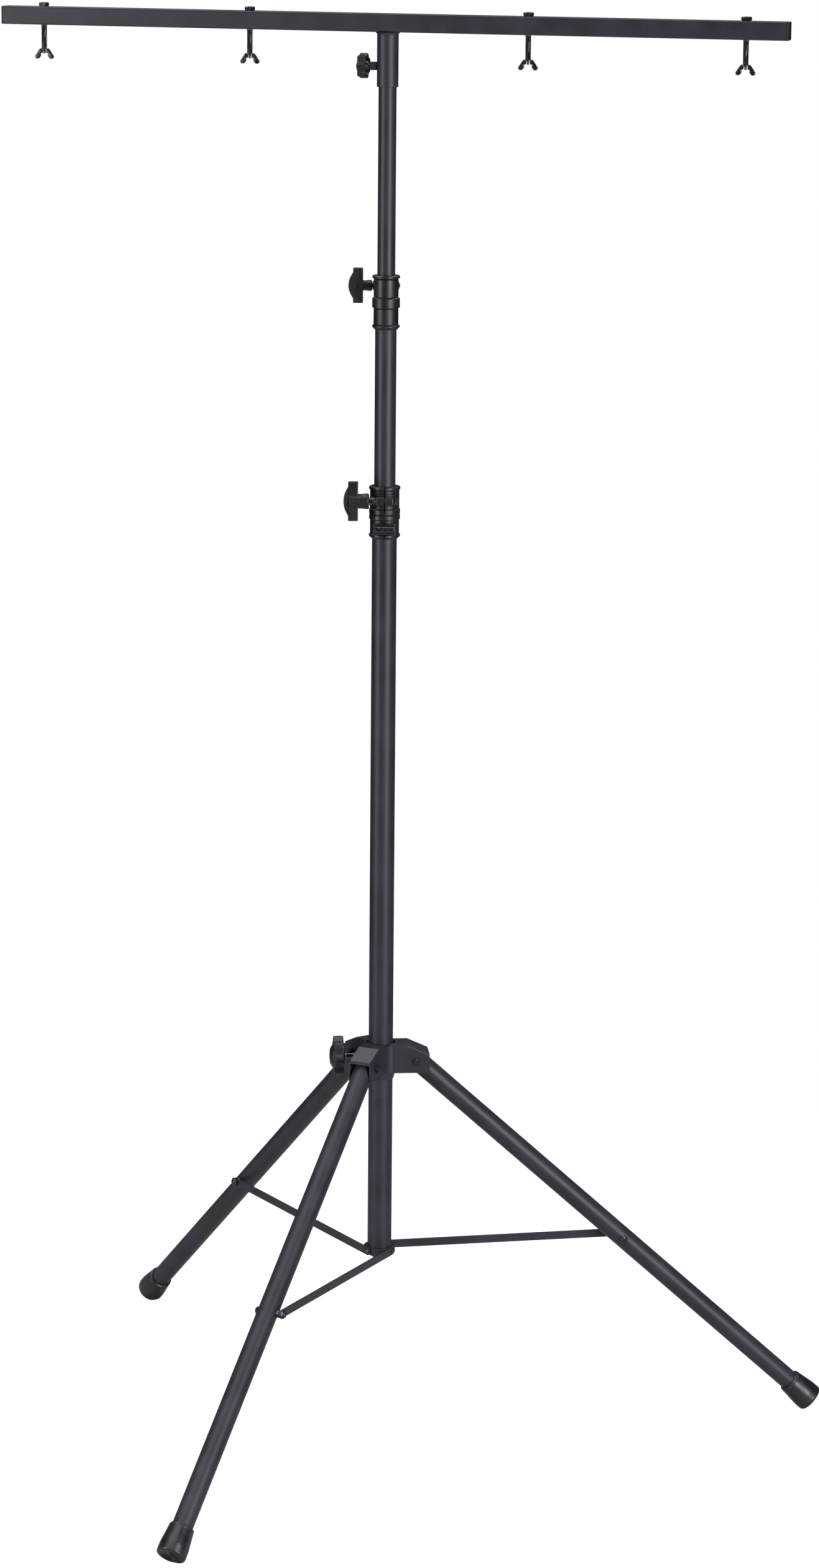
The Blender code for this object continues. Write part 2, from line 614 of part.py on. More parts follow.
def guide(shop, name, parent, tube_radius, outer_bore, tube_end):
    """Plastic guide on a sliding tube's lower end, which keeps it central in the next tube."""
    spigot = tube_radius - MAST_WALL - CLEARANCE
    flange = outer_bore - CLEARANCE
    shoulder = tube_end - CLEARANCE
    profile = [(spigot, shoulder + GUIDE_SPIGOT), (spigot, shoulder), (flange, shoulder),
               (flange, shoulder - GUIDE_HEIGHT), (spigot - GUIDE_WALL, shoulder - GUIDE_HEIGHT),
               (spigot - GUIDE_WALL, shoulder + GUIDE_SPIGOT)]
    turned(shop, name, profile, parent, shop.nylon)


def mid_group(shop, mid):
    """Mid tube with its guide and the upper clamp; the frame is at the clamp's lower end."""
    top = CLAMP_SOCKET
    tube = ring_profile(MID_TUBE_RADIUS, MID_TUBE_RADIUS - MAST_WALL, top - MID_TUBE_LENGTH, top)
    turned(shop, "mid_tube", tube, mid, shop.paint, steps=TUBE_STEPS)
    guide(shop, "mid_guide", mid, MID_TUBE_RADIUS, BASE_TUBE_RADIUS - MAST_WALL,
          top - MID_TUBE_LENGTH)
    body = empty(shop, "upper_clamp_frame", mid, Matrix.Rotation(CLAMP_TURN, 4, "Z"))
    split_clamp(shop, "upper", body, MID_TUBE_RADIUS, TOP_TUBE_RADIUS, UPPER_CLAMP_HEIGHT,
                upper_bands, UPPER_SCREW_HEIGHT, math.pi, 1, UPPER_KNOB_SPAN, UPPER_KNOB_NECK)


def top_group(shop, top):
    """Top tube with its guide; the frame is at the tube's upper end."""
    tube = ring_profile(TOP_TUBE_RADIUS, TOP_TUBE_RADIUS - MAST_WALL, -TOP_TUBE_LENGTH, 0)
    turned(shop, "top_tube", tube, top, shop.paint, steps=TUBE_STEPS)
    guide(shop, "top_guide", top, TOP_TUBE_RADIUS, MID_TUBE_RADIUS - MAST_WALL, -TOP_TUBE_LENGTH)


# ---------------------------------------------------------------- T-bar
def bar_group(shop, bar):
    """T-bar, socket, end caps, lamp bolts and wing nuts; the frame is under the bar."""
    section = [rounded_square(BAR_SIDE, BAR_CORNER),
               rounded_square(BAR_SIDE - 2 * BAR_WALL, BAR_CORNER - BAR_WALL)]
    tube = extruded_mesh("t_bar", section, BAR_LENGTH, STAND_YZ)
    tube.transform(raised(BAR_SIDE / 2))
    t_bar = add_piece(shop, "t_bar", tube, bar, shop.paint)
    for i, x in enumerate(BAR_BOLT_X):
        number = str(i + 1)
        hole = cylinder_mesh("bolt_hole_" + number, BOLT_RADIUS + CLEARANCE, -0.01, BAR_SIDE + 0.01)
        place = Matrix.Translation((x, 0, 0))
        cut(t_bar, add_tool(shop, "bolt_hole_" + number, hole, bar, place))
        bar_bolt(shop, "bar_bolt_" + number, bar, place)
        wing_nut(shop, "wing_nut_" + number, bar, x)
    for side, name in ((-1, "end_cap_left"), (1, "end_cap_right")):
        end_cap(shop, name, bar, side)
    bar_socket(shop, bar)


def bar_bolt(shop, name, bar, place):
    """Hex bolt down through the bar, with a turned-down tip."""
    seat = BAR_SIDE + CLEARANCE
    head = extruded_mesh(name, [hexagon(BOLT_HEAD_ACROSS)], BOLT_HEAD_HEIGHT)
    head.transform(raised(seat + BOLT_HEAD_HEIGHT / 2))
    bolt = add_piece(shop, name, head, bar, shop.black_steel, place)
    shank = [(0, seat + 0.002), (BOLT_RADIUS, seat + 0.002), (BOLT_RADIUS, -BOLT_DROP),
             (BOLT_TIP_RADIUS, -BOLT_DROP - 0.0006), (BOLT_TIP_RADIUS, -BOLT_DROP - BOLT_TIP),
             (0, -BOLT_DROP - BOLT_TIP)]
    join(bolt, turned_tool(shop, name + "_shank", shank, bar, place, closed=False, steps=PIN_STEPS))


def wing_nut(shop, name, bar, x):
    """Stamped wing nut at the bolt's lower end, wings down."""
    frame = empty(shop, name + "_axis", bar,
                  Matrix.Translation((x, 0, -BOLT_DROP + WING_NUT_RING + CLEARANCE)))
    bore = BOLT_RADIUS + CLEARANCE
    rim = bore + 0.0024
    ring = [(0, 0), (rim, 0), (rim, -WING_NUT_RING), (0, -WING_NUT_RING)]
    nut = turned(shop, name, ring, frame, shop.black_steel, closed=False, steps=PIN_STEPS)
    half = WING_NUT_SPAN / 2
    tip = 0.0024
    root = bore - 0.0017
    wing = [(root, -0.0005), (bore + 0.0028, -0.0005), (half - 0.0004, -0.0104)]
    wing += arc((half - tip, -0.0118), tip, 20, -90, 4)
    wing += [(half - 0.0058, -0.0138), (half - 0.0078, -0.0118), (half - 0.0084, -0.0078),
             (root, -0.0063)]
    for side, label in ((1, "_wing_right"), (-1, "_wing_left")):
        outline = [(side * px, pz) for px, pz in wing]
        mesh = extruded_mesh(name + label, [outline], WING_NUT_DEPTH, STAND_XZ)
        join(nut, add_tool(shop, name + label, mesh, frame))
    clear = cylinder_mesh(name + "_bore", bore, -0.02, 0.01)
    cut(nut, add_tool(shop, name + "_bore", clear, frame))


def end_cap(shop, name, bar, side):
    """Plastic plug with a flange as wide as the bar."""
    bore = BAR_SIDE - 2 * BAR_WALL - 2 * CLEARANCE
    face = BAR_LENGTH / 2 + CLEARANCE
    flange = extruded_mesh(name, [rounded_square(BAR_SIDE, BAR_CORNER)], BAR_CAP, STAND_YZ)
    flange.transform(Matrix.Translation((side * (face + BAR_CAP / 2), 0, BAR_SIDE / 2)))
    cap = add_piece(shop, name, flange, bar, shop.plastic)
    inner = side * (BAR_LENGTH / 2 - CAP_SPIGOT)
    outer = side * (face + BAR_CAP / 2)
    low = (min(inner, outer), -bore / 2, BAR_SIDE / 2 - bore / 2)
    high = (max(inner, outer), bore / 2, BAR_SIDE / 2 + bore / 2)
    join(cap, add_tool(shop, name + "_spigot", block_mesh(name + "_spigot", low, high), bar))


def bar_socket(shop, bar):
    """Socket welded under the bar, with its weld nut and star knob."""
    high = -CLEARANCE
    low = high - SOCKET_LENGTH
    bead = SOCKET_RADIUS + WELD_BEAD
    profile = [(bead, high), (bead - 0.0004, high - 0.0010), (SOCKET_RADIUS, high - 0.0026),
               (SOCKET_RADIUS, low), (SOCKET_BORE, low), (SOCKET_BORE, high)]
    socket = turned(shop, "bar_socket", profile, bar, shop.paint, steps=TUBE_STEPS)
    axis = frame_at((0, 0, -SOCKET_KNOB_DROP), -X_AXIS, Z_AXIS)
    bore = KNOB_SCREW_RADIUS + CLEARANCE
    hole = cylinder_mesh("socket_screw_hole", bore, SOCKET_BORE - 0.002, SOCKET_RADIUS + 0.002)
    cut(socket, add_tool(shop, "socket_screw_hole", hole, bar, axis))
    seat = SOCKET_RADIUS + CLEARANCE
    boss = [(SOCKET_BOSS_RADIUS - 0.0006, seat + SOCKET_BOSS),
            (SOCKET_BOSS_RADIUS, seat + SOCKET_BOSS - 0.0014), (SOCKET_BOSS_RADIUS, seat),
            (bore, seat), (bore, seat + SOCKET_BOSS)]
    turned(shop, "socket_weld_nut", boss, bar, shop.paint, axis, steps=PIN_STEPS)
    knob = empty(shop, "socket_knob_axis", bar, axis)
    near = seat + SOCKET_BOSS + SOCKET_KNOB_OUT
    star_knob(shop, "socket", knob, SOCKET_KNOB_RADIUS, SOCKET_KNOB_THICKNESS, near,
              SOCKET_BORE, SOCKET_KNOB_CROWN)


# ---------------------------------------------------------------- tripod
def hub_group(shop, hub):
    """Pressed three-armed hub with its bush and star knob; the frame is at the leg pivots."""
    skirt_end = ARM_BOTTOM - HUB_SKIRT
    drum = [(0, ARM_TOP), (DRUM_RADIUS, ARM_TOP), (DRUM_RADIUS, ARM_BOTTOM),
            (HUB_BORE + 0.0008, skirt_end), (0, skirt_end)]
    housing = turned(shop, "hub_housing", drum, hub, shop.paint, closed=False, steps=TUBE_STEPS)
    arms = []
    for i, name in enumerate(LEG_NAMES):
        azimuth = FIRST_LEG_AZIMUTH + i * 2 * math.pi / 3
        turn_arm = Matrix.Rotation(azimuth, 4, "Z")
        end_top = ARM_TOP + ARM_SLOPE * (ARM_END - ARM_BEND)
        side_view = [(ARM_START, ARM_BOTTOM), (ARM_END, ARM_BOTTOM), (ARM_END, end_top),
                     (ARM_BEND, ARM_TOP), (ARM_START, ARM_TOP)]
        arm = extruded_mesh("hub_arm_" + name, [side_view], 2 * ARM_OUTSIDE, STAND_XZ)
        join(housing, add_tool(shop, "hub_arm_" + name, arm, hub, turn_arm))
        arms.append((name, turn_arm))

    boss_turn = Matrix.Rotation(FIRST_LEG_AZIMUTH + math.pi, 4, "Z")
    knob_frame = boss_turn @ frame_at((0, 0, HUB_KNOB_RISE), X_AXIS, Z_AXIS)
    boss = cylinder_mesh("hub_knob_boss", HUB_BOSS_RADIUS, DRUM_BORE + 0.0005,
                         DRUM_RADIUS + HUB_BOSS_LENGTH)
    join(housing, add_tool(shop, "hub_knob_boss", boss, hub, knob_frame))

    sheet_drop = HUB_SHEET * math.sqrt(1 + ARM_SLOPE ** 2)
    past = ARM_END + 0.006
    flat_end = ARM_BEND - (sheet_drop - HUB_SHEET) / abs(ARM_SLOPE)
    hollow = [(HOLLOW_START, ARM_BOTTOM - 0.0015), (past, ARM_BOTTOM - 0.0015),
              (past, ARM_TOP - sheet_drop + ARM_SLOPE * (past - ARM_BEND)),
              (flat_end, ARM_TOP - HUB_SHEET), (HOLLOW_START, ARM_TOP - HUB_SHEET)]
    for name, turn_arm in arms:
        mesh = extruded_mesh("hub_hollow_" + name, [hollow], 2 * ARM_INSIDE, STAND_XZ)
        cut(housing, add_tool(shop, "hub_hollow_" + name, mesh, hub, turn_arm))
        pivot = turn_arm @ frame_at((LEG_PIVOT_RADIUS, 0, 0), Y_AXIS, Z_AXIS)
        hole = cylinder_mesh("pivot_hole_" + name, PIVOT_BOLT_RADIUS + CLEARANCE,
                             -ARM_OUTSIDE - 0.003, ARM_OUTSIDE + 0.003)
        cut(housing, add_tool(shop, "pivot_hole_" + name, hole, hub, pivot))
        pivot_bolt(shop, name, hub, pivot)
    bore = [(0, ARM_TOP + 0.002), (DRUM_BORE + 0.0002, ARM_TOP + 0.002),
            (DRUM_BORE, ARM_BOTTOM - 0.0018), (HUB_BORE, ARM_BOTTOM - 0.0068),
            (HUB_BORE, skirt_end - 0.002), (0, skirt_end - 0.002)]
    cut(housing, turned_tool(shop, "hub_bore", bore, hub, closed=False, steps=TUBE_STEPS))
    screw_bore = KNOB_SCREW_RADIUS + CLEARANCE
    hole = cylinder_mesh("hub_screw_hole", screw_bore, HUB_BORE, DRUM_RADIUS + 0.0120)
    screw_hole = add_tool(shop, "hub_screw_hole", hole, hub, knob_frame)
    cut(housing, screw_hole)

    bush = ring_profile(HUB_BORE + HUB_BUSH_WALL, HUB_BORE, ARM_BOTTOM, ARM_TOP - 0.0030)
    hub_bush = turned(shop, "hub_bush", bush, hub, shop.nylon, steps=TUBE_STEPS)
    wide = cylinder_mesh("bush_screw_hole", screw_bore, HUB_BORE - 0.002, DRUM_RADIUS)
    cut(hub_bush, add_tool(shop, "bush_screw_hole", wide, hub, knob_frame))

    knob = empty(shop, "hub_knob_axis", hub, knob_frame)
    star_knob(shop, "hub", knob, HUB_KNOB_RADIUS, HUB_KNOB_THICKNESS, HUB_KNOB_OUT, HUB_BORE,
              HUB_KNOB_CROWN)


def pivot_bolt(shop, name, hub, pivot):
    """Leg pivot: a round-headed bolt through both side plates, and its nut."""
    seat = ARM_OUTSIDE + CLEARANCE
    tip = -seat - PIVOT_NUT_HEIGHT - SCREW_END
    head = PIVOT_HEAD_RADIUS
    bolt = [(0, seat + PIVOT_HEAD_HEIGHT), (head * 0.52, seat + PIVOT_HEAD_HEIGHT * 0.91),
            (head * 0.95, seat + PIVOT_HEAD_HEIGHT * 0.35), (head, seat),
            (PIVOT_BOLT_RADIUS, seat), (PIVOT_BOLT_RADIUS, tip), (0, tip)]
    flip = pivot @ Matrix.Rotation(math.pi, 4, "X")
    turned(shop, "pivot_bolt_" + name, bolt, hub, shop.black_steel, flip, closed=False,
           steps=PIN_STEPS)
    hole = circle(PIVOT_BOLT_RADIUS + CLEARANCE)
    nut = extruded_mesh("pivot_nut_" + name, [hexagon(PIVOT_NUT_ACROSS), hole],
                        PIVOT_NUT_HEIGHT)
    nut.transform(raised(seat + PIVOT_NUT_HEIGHT / 2))
    add_piece(shop, "pivot_nut_" + name, nut, hub, shop.black_steel, pivot)


def leg_group(shop, name, leg):
    """Leg tube, foot and strut bolt; the frame is at the pivot, with Z down the leg and
    Y along the pivot."""
    tube_end = LEG_REACH - FOOT_SOLE - CLEARANCE
    section = ring_profile(LEG_TUBE_RADIUS, LEG_TUBE_RADIUS - LEG_WALL, -LEG_HEAD, tube_end)
    tube = turned(shop, "leg_" + name, section, leg, shop.paint, steps=TUBE_STEPS)
    across = LEG_TUBE_RADIUS + 0.004
    for label, z in (("pivot", 0.0), ("strut", STRUT_ON_LEG)):
        place = frame_at((0, 0, z), Y_AXIS, X_AXIS)
        hole = cylinder_mesh("leg_" + label + "_hole_" + name, PIVOT_BOLT_RADIUS + CLEARANCE,
                             -across, across)
        cut(tube, add_tool(shop, hole.name, hole, leg, place))
    foot(shop, "foot_" + name, leg)

    place = frame_at((0, 0, STRUT_ON_LEG), Y_AXIS, X_AXIS)
    near = -(LEG_TUBE_RADIUS + CLEARANCE)
    collar = STRUT_COLLAR_RADIUS
    head = STRUT_HEAD_RADIUS
    bolt = [(0, STRUT_INNER_FACE - CLEARANCE), (collar, STRUT_INNER_FACE - CLEARANCE),
            (collar, LEG_TUBE_RADIUS + CLEARANCE), (PIVOT_BOLT_RADIUS, LEG_TUBE_RADIUS + CLEARANCE),
            (PIVOT_BOLT_RADIUS, near), (head, near), (head * 0.95, near - STRUT_HEAD_HEIGHT * 0.4),
            (head * 0.55, near - STRUT_HEAD_HEIGHT * 0.9), (0, near - STRUT_HEAD_HEIGHT)]
    turned(shop, "strut_bolt_" + name, bolt, leg, shop.black_steel, place, closed=False,
           steps=PIN_STEPS)


def foot(shop, name, leg):
    """Rubber foot pushed on the leg's end: it flares to a rounded sole."""
    rim = LEG_TUBE_RADIUS + CLEARANCE + FOOT_SIDE
    sole = rim + FOOT_FLARE
    top = LEG_REACH - FOOT_LENGTH
    edge = arc((sole - FOOT_EDGE, LEG_REACH - FOOT_EDGE), FOOT_EDGE, 90, 0, 4)
    bore = LEG_TUBE_RADIUS + CLEARANCE
    outside = [(0, LEG_REACH)] + edge + [(rim, top + 0.0014), (rim - 0.0012, top)]
    inside = [(bore, top), (bore, LEG_REACH - FOOT_SOLE), (0, LEG_REACH - FOOT_SOLE)]
    turned(shop, name, outside + inside, leg, shop.rubber, closed=False)


def strut_length():
    """Pin to pin, from the base tube's axis plane to the bolt on the leg."""
    reach = LEG_PIVOT_RADIUS + STRUT_ON_LEG * math.cos(LEG_TILT)
    drop = HUB_HEIGHT - STRUT_ON_LEG * math.sin(LEG_TILT) - STRUT_PIN_RISE
    return reach, drop


def strut_group(shop, name, strut):
    """Flat strut and its cap nut; the frame is at the rivet, X along the strut, Y across."""
    length = math.hypot(*strut_length())
    half = STRUT_WIDTH / 2
    outline = arc((0, 0), half, 90, 270, 6) + arc((length, 0), half, -90, 90, 6)
    hole = circle(RIVET_RADIUS + CLEARANCE)
    far_hole = [(x + length, y) for x, y in hole]
    bar = extruded_mesh("strut_" + name, [outline, hole, far_hole], STRUT_THICKNESS, STAND_XZ)
    bar.transform(Matrix.Translation((0, STRUT_MIDDLE, 0)))
    add_piece(shop, "strut_" + name, bar, strut, shop.paint)
    seat = STRUT_INNER_FACE + STRUT_THICKNESS + CLEARANCE
    radius = STRUT_NUT_RADIUS
    height = STRUT_NUT_HEIGHT
    end = STRUT_INNER_FACE + 0.0004
    nut = [(0, seat + height), (radius * 0.47, seat + height * 0.91),
           (radius * 0.80, seat + height * 0.59), (radius, seat + height * 0.25), (radius, seat),
           (RIVET_RADIUS, seat), (RIVET_RADIUS, end), (0, end)]
    place = frame_at((length, 0, 0), Y_AXIS, Z_AXIS)
    turned(shop, "strut_nut_" + name, nut, strut, shop.black_steel, place, closed=False,
           steps=PIN_STEPS)


def tripod(shop, mast):
    """Hub on the mast, legs on the hub, struts on the mast's bracket."""
    hub = empty(shop, "hub", mast, raised(HUB_HEIGHT))
    hub_group(shop, hub)
    reach, drop = strut_length()
    for i, name in enumerate(LEG_NAMES):
        azimuth = FIRST_LEG_AZIMUTH + i * 2 * math.pi / 3
        out = Vector((math.cos(azimuth), math.sin(azimuth), 0))
        side = Z_AXIS.cross(out)
        down_leg = out * math.cos(LEG_TILT) - Z_AXIS * math.sin(LEG_TILT)
        leg = empty(shop, "leg_pivot_" + name, hub,
                    frame_at(out * LEG_PIVOT_RADIUS, down_leg, side))
        leg_group(shop, name, leg)
        along = (out * reach + Z_AXIS * drop).normalized()
        strut = empty(shop, "strut_pivot_" + name, mast,
                      frame_at((0, 0, STRUT_PIN_RISE), along.cross(side), side))
        strut_group(shop, name, strut)


# ---------------------------------------------------------------- whole stand
def evaluated_corners(collection):
    """Lowest and highest corner of every piece as it is evaluated, in world space."""
    bpy.context.view_layer.update()
    depsgraph = bpy.context.evaluated_depsgraph_get()
    points = []
    for obj in collection.objects:
        if obj.type == "MESH":
            solid = obj.evaluated_get(depsgraph)
            points += [obj.matrix_world @ vertex.co for vertex in solid.data.vertices]
    low = Vector([min(point[k] for point in points) for k in range(3)])
    high = Vector([max(point[k] for point in points) for k in range(3)])
    return low, high


def main():
    clear_scene()
    shop = Shop()
    stand = empty(shop, "stand", None, Matrix.Identity(4))
    base_group(shop, stand)
    mid = empty(shop, "mid_slide", stand, raised(MID_TUBE_Z))
    mid_group(shop, mid)
    top = empty(shop, "top_slide", mid,
                raised(BAR_Z - MID_TUBE_Z - TOP_TUBE_SINK))
    top_group(shop, top)
    bar = empty(shop, "bar_swivel", top, raised(TOP_TUBE_SINK))
    bar_group(shop, bar)
    tripod(shop, stand)
    low, high = evaluated_corners(shop.parts)
    stand.location = (-(low.x + high.x) / 2, -(low.y + high.y) / 2, -low.z)
    bpy.context.view_layer.update()


main()
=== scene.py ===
"""Finishes a telescopic tripod stand for stage lights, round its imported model.

Laid out as an add-on: one operator for each piece or group of like pieces and one for the
studio, with their sizes and colours in property groups. Units are metres.
"""

import json
import math

import bmesh
import bpy
from mathutils import Matrix, Vector


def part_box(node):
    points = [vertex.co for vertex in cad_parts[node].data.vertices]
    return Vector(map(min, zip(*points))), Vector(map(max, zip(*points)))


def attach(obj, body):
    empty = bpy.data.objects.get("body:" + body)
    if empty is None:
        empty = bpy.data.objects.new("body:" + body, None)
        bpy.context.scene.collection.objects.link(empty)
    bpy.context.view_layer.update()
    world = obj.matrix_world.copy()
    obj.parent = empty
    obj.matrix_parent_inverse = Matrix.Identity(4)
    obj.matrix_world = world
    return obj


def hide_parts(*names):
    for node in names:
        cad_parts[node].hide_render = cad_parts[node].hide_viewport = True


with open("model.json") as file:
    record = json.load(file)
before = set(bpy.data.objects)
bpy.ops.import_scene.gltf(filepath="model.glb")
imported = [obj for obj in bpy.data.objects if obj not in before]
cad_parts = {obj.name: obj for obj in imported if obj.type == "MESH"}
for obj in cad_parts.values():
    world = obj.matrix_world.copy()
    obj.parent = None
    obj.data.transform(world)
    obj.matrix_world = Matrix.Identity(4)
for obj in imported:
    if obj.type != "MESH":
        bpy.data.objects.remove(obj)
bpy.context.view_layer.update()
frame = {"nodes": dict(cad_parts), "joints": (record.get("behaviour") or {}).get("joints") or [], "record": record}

bl_info = {
    "name": "Lighting stand finish",
    "version": (1, 0, 0),
    "blender": (4, 5, 0),
    "location": "3D View > Sidebar > Stand",
    "description": "Detailed pieces, finishes and studio for a telescopic lighting stand",
    "category": "Object",
}

# ---------------------------------------------------------------- sizes beyond the frame
GAP = 0.0003                # between two pieces that seat on one another
MERGE = 0.000001            # points closer than this become one
TUBE_STEPS = 96             # facets of the large round pieces
SMALL_STEPS = 48            # facets of the small ones
TUBE_WALL = 0.0015
TUBE_EDGE = 0.0004          # rounding of cut tube ends
SHEET = 0.0018              # steel sheet of the hub
SHEET_BEND = 0.0024         # outer radius of its bends
ARM_PLAY = 0.00085          # leg to the inside of its arm
ARM_CROWN = 0.0115          # top of the hub above a leg's side
ARM_FLOOR = 0.0024          # bottom of the arms below a leg's side
ARM_BEND_BACK = 0.0112      # where an arm's top starts to slope, inward of the leg pivot
ARM_PAST_LEG = 0.0049       # arm's end past the leg's side
ARM_SLOPE = -0.45
HUB_CURVE = 0.0120          # radius of the hollow curves between the arms
COVER = 0.0017              # cover plate on top of the hub's folded channels
COVER_INSET = 0.0013
COVER_EDGE = 0.0004
CLAMP_WALL = 0.0030
CLAMP_SOCKET = 0.0320       # outer tube inside its clamp
BUSH_WALL = 0.0015
SLIT = 0.0016
LUG_LENGTH = 0.0130
LUG_DEPTH = 0.0110
LUG_HEIGHT = 0.0120
PAD_RISE = 0.0028           # curved pad behind the lugs, above and below them
SLIT_RISE = 0.0068          # slit's lower end above the socket
SCREW_RADIUS = 0.0030       # clamp screws, leg pivots
KNOB_SCREW_RADIUS = 0.0040
BAR_WALL = 0.0015
BAR_CORNER = 0.0022
BOLT_RADIUS = 0.0040
RIVET_RADIUS = 0.0024
KNOB_BORE = 0.0085          # depth of a wing knob's bore past its neck
WING_THICK = 0.0141         # a wing knob's blade along its screw
WING_DEPTH = 0.0130         # and across it
WING_EDGE = 0.0012
WING_NECKS = {"lower": (0.0110, 0.0154), "upper": (0.0078, 0.0129)}  # radius, length
STAR_RIMS = {"socket": 0.0116, "hub": 0.0146}                        # thickness at the rim
WING_NUT_DEPTH = 0.0058
WING_NUT_WALL = 0.0024
SOCKET_WALL = 0.0022
SPACER_RADIUS = 0.0055      # spacer between a leg and its brace
CAP_NUT_FLATS = 0.93        # a cap nut's width over flats, as a share of its outer width
BRACE_EDGE = 0.0005
CUP_EDGE = 0.0006
FOOT_SHOULDER = 0.0028
FOOT_EDGE = 0.0056          # rounding of a foot's lower edge
SOLE_LIP = 0.0012           # plain rim round the sole's grooves

X_AXIS = Vector((1, 0, 0))
Y_AXIS = Vector((0, 1, 0))
Z_AXIS = Vector((0, 0, 1))
UPRIGHT = Matrix.Rotation(math.pi / 2, 4, "X")
SIDEWAYS = Matrix.Rotation(math.pi / 2, 4, "Z") @ Matrix.Rotation(math.pi / 2, 4, "X")
LEGS = ("right", "rear", "front")
BOLTS = (1, 2, 3, 4)


# ---------------------------------------------------------------- settings
def length(name, description, default):
    return bpy.props.FloatProperty(name=name, description=description, default=default,
                                   min=0.0, subtype="DISTANCE", unit="LENGTH", precision=5)


def factor(name, description, default):
    return bpy.props.FloatProperty(name=name, description=description, default=default,
                                   min=0.0, max=1.0, subtype="FACTOR")


def color(name, description, default):
    return bpy.props.FloatVectorProperty(name=name, description=description, default=default,
                                         size=3, min=0.0, max=1.0, subtype="COLOR")


def watts(name, description, default):
    return bpy.props.FloatProperty(name=name, description=description, default=default,
                                   min=0.0, subtype="POWER", unit="POWER")


class StandFinish(bpy.types.PropertyGroup):
    coat: color("Powder coat", "Colour of the painted steel", (0.0200, 0.0178, 0.0275))
    coat_gloss: factor("Coat roughness", "Roughness of the painted steel", 0.46)
    coat_grain: length("Coat grain", "Size of the powder coat's fine texture", 0.0008)
    plastic: color("Plastic", "Colour of the moulded clamps and knobs", (0.0095, 0.0066, 0.0100))
    plastic_gloss: factor("Plastic roughness", "Roughness of the mouldings", 0.42)
    rubber: color("Rubber", "Colour of the feet", (0.0125, 0.0098, 0.0150))
    rubber_gloss: factor("Rubber roughness", "Roughness of the feet", 0.34)
    steel: color("Black steel", "Colour of the blackened fasteners", (0.045, 0.042, 0.050))
    steel_gloss: factor("Steel roughness", "Roughness of the fasteners", 0.28)
    zinc: color("Zinc", "Colour of the plated screws", (0.20, 0.235, 0.29))
    zinc_gloss: factor("Zinc roughness", "Roughness of the plated screws", 0.30)
    nylon: color("Nylon", "Colour of the sliding bushes", (0.018, 0.018, 0.019))
    wear: factor("Edge wear", "How far the finish is rubbed off along edges", 0.35)


class StandShape(bpy.types.PropertyGroup):
    thread_pitch: length("Thread pitch", "Rise of a screw's thread in one turn", 0.00125)
    thread_depth: length("Thread depth", "Depth of a screw's thread", 0.00045)
    lobes: bpy.props.IntProperty(name="Knob lobes", description="Lobes round a star knob",
                                 default=7, min=3, max=16)
    lobe_share: factor("Lobe depth", "Depth of the hollows, as a share of the radius", 0.18)
    weld_ripples: bpy.props.IntProperty(name="Weld ripples", description="Ripples in a weld",
                                        default=44, min=8, max=200)
    weld_depth: length("Weld ripple depth", "Depth of a weld's ripples", 0.00028)
    sole_grooves: bpy.props.IntProperty(name="Sole grooves", default=3, min=1, max=8,
                                        description="Concentric grooves in a foot's sole")


class StandStudio(bpy.types.PropertyGroup):
    key: watts("Key", "Tall softbox on the right of the camera", 120.0)
    fill: watts("Fill", "Tall softbox on the left of the camera", 72.0)
    back: watts("Back", "Softboxes high behind the stand", 60.0)
    top: bpy.props.FloatProperty(name="Top light", description="Overhead light on the floor",
                                 default=1.2, min=0.0)
    glow: factor("Floor glow", "Light that the floor shows the camera of itself", 0.86)
    room: factor("Room", "Brightness of the room in reflections", 0.04)
    floor_radius: length("Floor radius", "Reach of the floor round the mast", 1.8)
    floor: color("Floor", "Colour of the floor", (0.42, 0.42, 0.42))
    distance: length("Camera distance", "Level distance from the camera to the mast", 6.2613)
    height: length("Camera height", "Height of the camera above the leg pivots", 1.7766)
    turn: bpy.props.FloatProperty(name="Camera turn", default=math.radians(15.378),
                                  description="How far round the mast the camera stands",
                                  subtype="ANGLE", unit="ROTATION")
    pan: bpy.props.FloatProperty(name="Pan", default=math.radians(0.351), subtype="ANGLE",
                                 unit="ROTATION", description="Camera pointed off the mast")
    pitch: bpy.props.FloatProperty(name="Pitch", default=math.radians(-12.336), subtype="ANGLE",
                                   unit="ROTATION", description="Camera tilted above level")
    roll: bpy.props.FloatProperty(name="Roll", default=math.radians(0.483), subtype="ANGLE",
                                  unit="ROTATION", description="Camera rolled")
    lens: bpy.props.FloatProperty(name="Lens", description="Focal length in millimetres",
                                  default=103.086, min=1.0)


